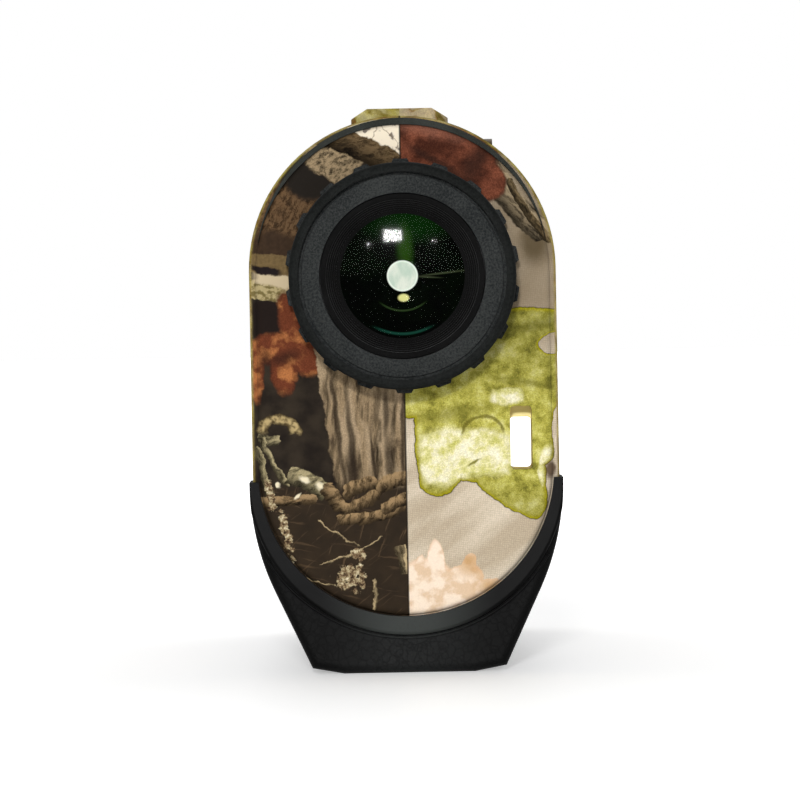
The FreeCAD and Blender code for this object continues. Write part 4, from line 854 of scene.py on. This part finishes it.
# name, dark and light tones, grain, roughness, relief, gloss, nodes
MOULDED = (
    ("band_black", (27, 30, 27), (40, 43, 37), 5.0, (0.55, 0.7), 0.3, 0.15, ("trim_band",)),
    ("bezel_black", (18, 18, 19), (32, 32, 33), 5.0, (0.5, 0.66), 0.5, 0.15, ("front_bezel", "battery_cap")),
    ("barrel_charcoal", (21, 24, 25), (48, 50, 49), 3.4, (0.62, 0.78), 0.6, 0.1,
     ("eyepiece_barrel", "diopter_ring")),
    ("eyecup_rubber", (12, 14, 13), (24, 26, 25), 3.4, (0.66, 0.8), 0.5, 0.1, ("eyecup",)),
    ("inner_black", (9, 9, 9), (16, 16, 16), 6.0, (0.7, 0.85), 0.4, 0.06,
     ("cone_baffle", "receiver_baffle", "prism_holder", "display_frame", "optical_tube", "battery_tube",
      "emitter_holder")),
    ("seal_rubber", (14, 14, 14), (24, 24, 24), 4.0, (0.35, 0.5), 0.3, 0.15, ("objective_seal", "cap_seal")),
    ("chip_black", (22, 22, 23), (36, 36, 37), 9.0, (0.4, 0.6), 0.3, 0.15,
     ("main_board_chips", "tact_switches")),
    ("button_rubber", (26, 26, 27), (44, 44, 45), 6.0, (0.6, 0.75), 0.15, 0.15,
     ("fire_button", "mode_button")),
)


def assign(nodes, material):
    """Gives these CAD nodes this material alone."""
    for name in nodes:
        held = NODES[name].data.materials
        held.clear()
        held.append(material)


def dress_nodes():
    assign(("left_shell",), camo_material("woodland_left", left_panel))
    assign(("right_shell",), camo_material("woodland_right", right_panel))
    # The top island is mostly covered by the painted golden highlight.
    assign(("button_bezel",), camo_material("woodland_top", painted_highlight=0.6))
    assign(("rubber_grip",), grip_material())
    for name, dark, light, grain, rough, relief, gloss, nodes in MOULDED:
        assign(nodes, moulded(name, tone(*dark), tone(*light), grain, rough, relief, gloss))
    assign(("lens_cell", "lens_spacer", "objective_cell", "objective_retainer", "receiver_cell",
            "receiver_retainer"), anodised())
    assign(("main_board", "receiver_board", "button_board"), circuit_board())
    assign(("shell_screws", "cell_pin"),
           bare_metal("steel", tone(64, 58, 48), tone(112, 102, 86)))
    assign(("battery_spring", "cap_contact"),
           bare_metal("spring_steel", tone(140, 140, 138), tone(214, 214, 210), 70.0, 0.16))
    assign(("laser_diode", "light_sensor"),
           bare_metal("can_gold", tone(176, 138, 70), tone(232, 196, 118), 5.0, 0.2))
    assign(("battery",), battery_sleeve())
    assign(("eye_lens", "field_lens"),
           optical_glass("eyepiece_glass", (0.86, 0.95, 0.88), (0.35, 0.75, 0.4),
                         reflected=(0.004, 0.012, 0.004), coat=0.06))
    assign(("objective_crown", "objective_flint", "receiver_lens"),
           optical_glass("objective_glass", (0.80, 0.92, 0.88), (0.3, 0.6, 0.5)))
    assign(("roof_prism", "entry_prism"),
           optical_glass("prism_glass", (0.9, 0.95, 0.94), (0.8, 0.9, 0.95)))
    assign(("display_glass",), optical_glass("display_glass", (0.75, 0.82, 0.76), (0.6, 0.7, 0.6), 0.03))


# ---- pieces that only show ----

def placed(name, data, place=(0.0, 0.0, 0.0), turn=(1.0, 0.0, 0.0, 0.0)):
    """A new object in the scene, at this place and quaternion."""
    made = bpy.data.objects.new(name, data)
    made.location = place
    made.rotation_mode = "QUATERNION"
    made.rotation_quaternion = turn
    bpy.context.scene.collection.objects.link(made)
    return made


def object_from(mesh_builder, name, material):
    mesh = bpy.data.meshes.new(name)
    mesh_builder.to_mesh(mesh)
    mesh_builder.free()
    mesh.materials.append(material)
    for face in mesh.polygons:
        face.use_smooth = True
    return placed(name, mesh)


def join_rings(built, rings):
    """Faces between each ring of points and the next."""
    for first, second in zip(rings, rings[1:]):
        for step in range(len(first)):
            after = (step + 1) % len(first)
            built.faces.new((first[step], second[step], second[after], first[after]))


def add_tube(built, path, radius, closed, around=8):
    """Sweeps a round bead along points (in mm) that lie in a plane across Y."""
    rows = []
    count = len(path)
    for index, spot in enumerate(path):
        before = path[index - 1] if closed or index else spot
        after = path[(index + 1) % count] if closed or index + 1 < count else spot
        run = (after - before).normalized()
        outward = Vector((0.0, 1.0, 0.0)).cross(run)
        rows.append([built.verts.new((spot + radius * (math.cos(turn) * outward
                                                       + Vector((0.0, math.sin(turn), 0.0)))) * MM)
                     for turn in (math.tau * step / around for step in range(around))])
    join_rings(built, rows + rows[:1] if closed else rows)
    if not closed:
        built.faces.new(rows[0])
        built.faces.new(reversed(rows[-1]))


def arc_points(height, y, radius, start, end, count):
    """Points in mm round the vertical middle plane's (0, height), angles in degrees."""
    turns = [math.radians(start + (end - start) * step / count) for step in range(count + 1)]
    return [Vector((radius * math.cos(turn), y, height + radius * math.sin(turn))) for turn in turns]


def add_cone_threads():
    """The anti-glare ridges inside the eyepiece's black cone."""
    low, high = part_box("cone_baffle")
    rear, front = low.y / MM, high.y / MM
    mouth, throat = 10.7, 8.5
    ridges, spacing, ridge_radius = 7, 0.12, 0.07
    built = bmesh.new()
    for step in range(ridges):
        share = spacing * (step + 1)
        ridge = arc_points(EYE_HEIGHT, rear + share * (front - rear), mouth + share * (throat - mouth),
                           0.0, 360.0, 96)[:-1]
        add_tube(built, ridge, ridge_radius, closed=True)
    # The ridges are a lighter, glossier black than the cone they sit in: a painted highlight on them.
    ridged = moulded("thread_black", tone(26, 27, 27), tone(38, 39, 39), 6.0, (0.4, 0.5), 0.3, 0.5)
    made = object_from(built, "cone_threads", ridged)
    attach(made, "focus_cell")


def add_lip_bead():
    """The thin bead that runs below the grip's rear lip."""
    arc_height, arc_radius, bead_radius = 27.2, 22.3, 0.22
    built = bmesh.new()
    path = arc_points(arc_height, PANEL_FACE + 0.5, arc_radius, -150.0, -30.0, 90)
    add_tube(built, path, bead_radius, closed=False)
    made = object_from(built, "lip_bead", NODES["rubber_grip"].data.materials[0])
    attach(made, "housing")


def dished_disc(name, axis_height, y, radius, dish, material, rings=10, around=96):
    """A disc facing -Y, sunk in the middle by dish (all in mm)."""
    built = bmesh.new()
    middle = built.verts.new(Vector((0.0, y + dish, axis_height)) * MM)
    loops = []
    for ring in range(1, rings + 1):
        out = radius * ring / rings
        depth = y + dish * (1 - (ring / rings) ** 2)
        loops.append([built.verts.new(Vector((out * math.cos(turn), depth,
                                              axis_height + out * math.sin(turn))) * MM)
                      for turn in (math.tau * step / around for step in range(around))])
    for step in range(around):
        built.faces.new((middle, loops[0][step], loops[0][(step + 1) % around]))
    join_rings(built, loops)
    return object_from(built, name, material)


def add_eyepiece_view():
    """A disc between the two eyepiece lenses that shows what lies down the optics, in painted, glowing light.
    """
    lens_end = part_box("eye_lens")[1] / MM
    disc = dished_disc("painted_eyepiece_view", EYE_HEIGHT, lens_end.y + 0.15, lens_end.x - 0.5, 0.6,
                       painted_eyepiece_view())
    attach(disc, "focus_cell")


# ---- floor, light and camera ----

def stage_floor():
    """A pale floor that glows less near the object, a painted shade round its base, and brightens away from
    it. Reflections leave it out, so that the dark glass and rubber stay dark."""
    built = bmesh.new()
    bmesh.ops.create_grid(built, x_segments=8, y_segments=8, size=3.0)
    material, s, surface, place = new_material("studio_floor")
    cloud = s.noise(place, 0.004, 3.0)
    colour = s.mix(cloud, (0.90, 0.90, 0.90), (0.94, 0.94, 0.94))
    roughness = s.step(cloud, 0.3, 0.7, 0.4, 0.5)
    finish_surface(s, surface, colour, roughness, s.bump(s.noise(place, 0.2, 2.0), 0.05, 0.1),
                   Emission_Color=(1.0, 1.0, 1.0, 1.0))
    away = s.length(place)
    # Painted shade: the floor glows less near the object.
    s.put(surface.inputs["Emission Strength"], s.step(away, 90.0, 420.0, 0.40, 1.0))
    floor = object_from(built, "studio_floor", material)
    floor.visible_glossy = False


def area_light(name, place, aim, width, height, power):
    light = bpy.data.lights.new(name, "AREA")
    light.shape = "RECTANGLE"
    light.size = width
    light.size_y = height
    light.energy = power
    placed(name, light, place, (Vector(aim) - Vector(place)).to_track_quat("-Z", "Y"))


def off_axis(middle, rise, aside, distance):
    """A place in front of the eyepiece, this many degrees up and to the right."""
    rise, aside = math.radians(rise), math.radians(aside)
    return middle + distance * Vector((math.sin(aside) * math.cos(rise), -math.cos(aside) * math.cos(rise),
                                       math.sin(rise)))


def studio_light():
    """A softbox just above the camera with a small lamp on either side of it, wide ones
    overhead, and a pale room that is bright behind the object and dim on the camera's side."""
    lens = Vector((0.0, EYECUP_FACE, EYE_HEIGHT)) * MM
    distance = 1.3
    for name, rise, aside, width, height, power in (("key_softbox", 11.3, -2.6, 0.112, 0.070, 13.0),
                                                    ("left_lamp", 8.8, -9.4, 0.012, 0.012, 0.35),
                                                    ("right_lamp", 9.5, 9.0, 0.012, 0.012, 0.35)):
        area_light(name, off_axis(lens, rise, aside, distance), lens, width, height, power)
    area_light("front_softbox", (0.0, -0.85, 1.05), (0.0, 0.0, 0.05), 1.2, 0.5, 0.8)
    area_light("overhead_softbox", (0.0, 0.35, 1.1), (0.0, 0.05, 0.0), 1.6, 1.2, 4.0)
    world = bpy.data.worlds.new("studio_room")
    world.use_nodes = True
    tree = world.node_tree
    shader = Shader(tree)
    background = tree.nodes["Background"]
    background.inputs["Color"].default_value = (1.0, 1.0, 1.0, 1.0)
    direction = shader.parts(shader.node("TexCoord").outputs["Generated"])
    room = shader.step(direction[1], -0.2, 0.7, 0.05, 0.8)
    seen = shader.node("LightPath").outputs["Is Camera Ray"]
    shader.put(background.inputs["Strength"], shader.most(room, seen))
    bpy.context.scene.world = world


def set_camera():
    """The main view: straight at the eyepiece, level with it, through a long lens."""
    distance = 0.75
    camera = bpy.data.cameras.new("studio_camera")
    camera.sensor_width = 36.0
    camera.lens = 246.0
    camera.clip_start = 0.01
    camera.clip_end = 50.0
    pitch, yaw, roll = (math.radians(angle) for angle in (1.3, 0.05, -1.1))
    look = (Matrix.Rotation(yaw, 3, "Z") @ Matrix.Rotation(-pitch, 3, "X")) @ Vector((0.0, 1.0, 0.0))
    turn = look.to_track_quat("-Z", "Y") @ Matrix.Rotation(roll, 3, "Z").to_quaternion()
    place = Vector((0.0, PANEL_FACE * MM - distance, EYE_HEIGHT * MM))
    bpy.context.scene.camera = placed("studio_camera", camera, place, turn)


dress_nodes()
add_eyepiece_view()
add_cone_threads()
add_lip_bead()
stage_floor()
studio_light()
set_camera()
bpy.context.scene.view_settings.view_transform = "Standard"
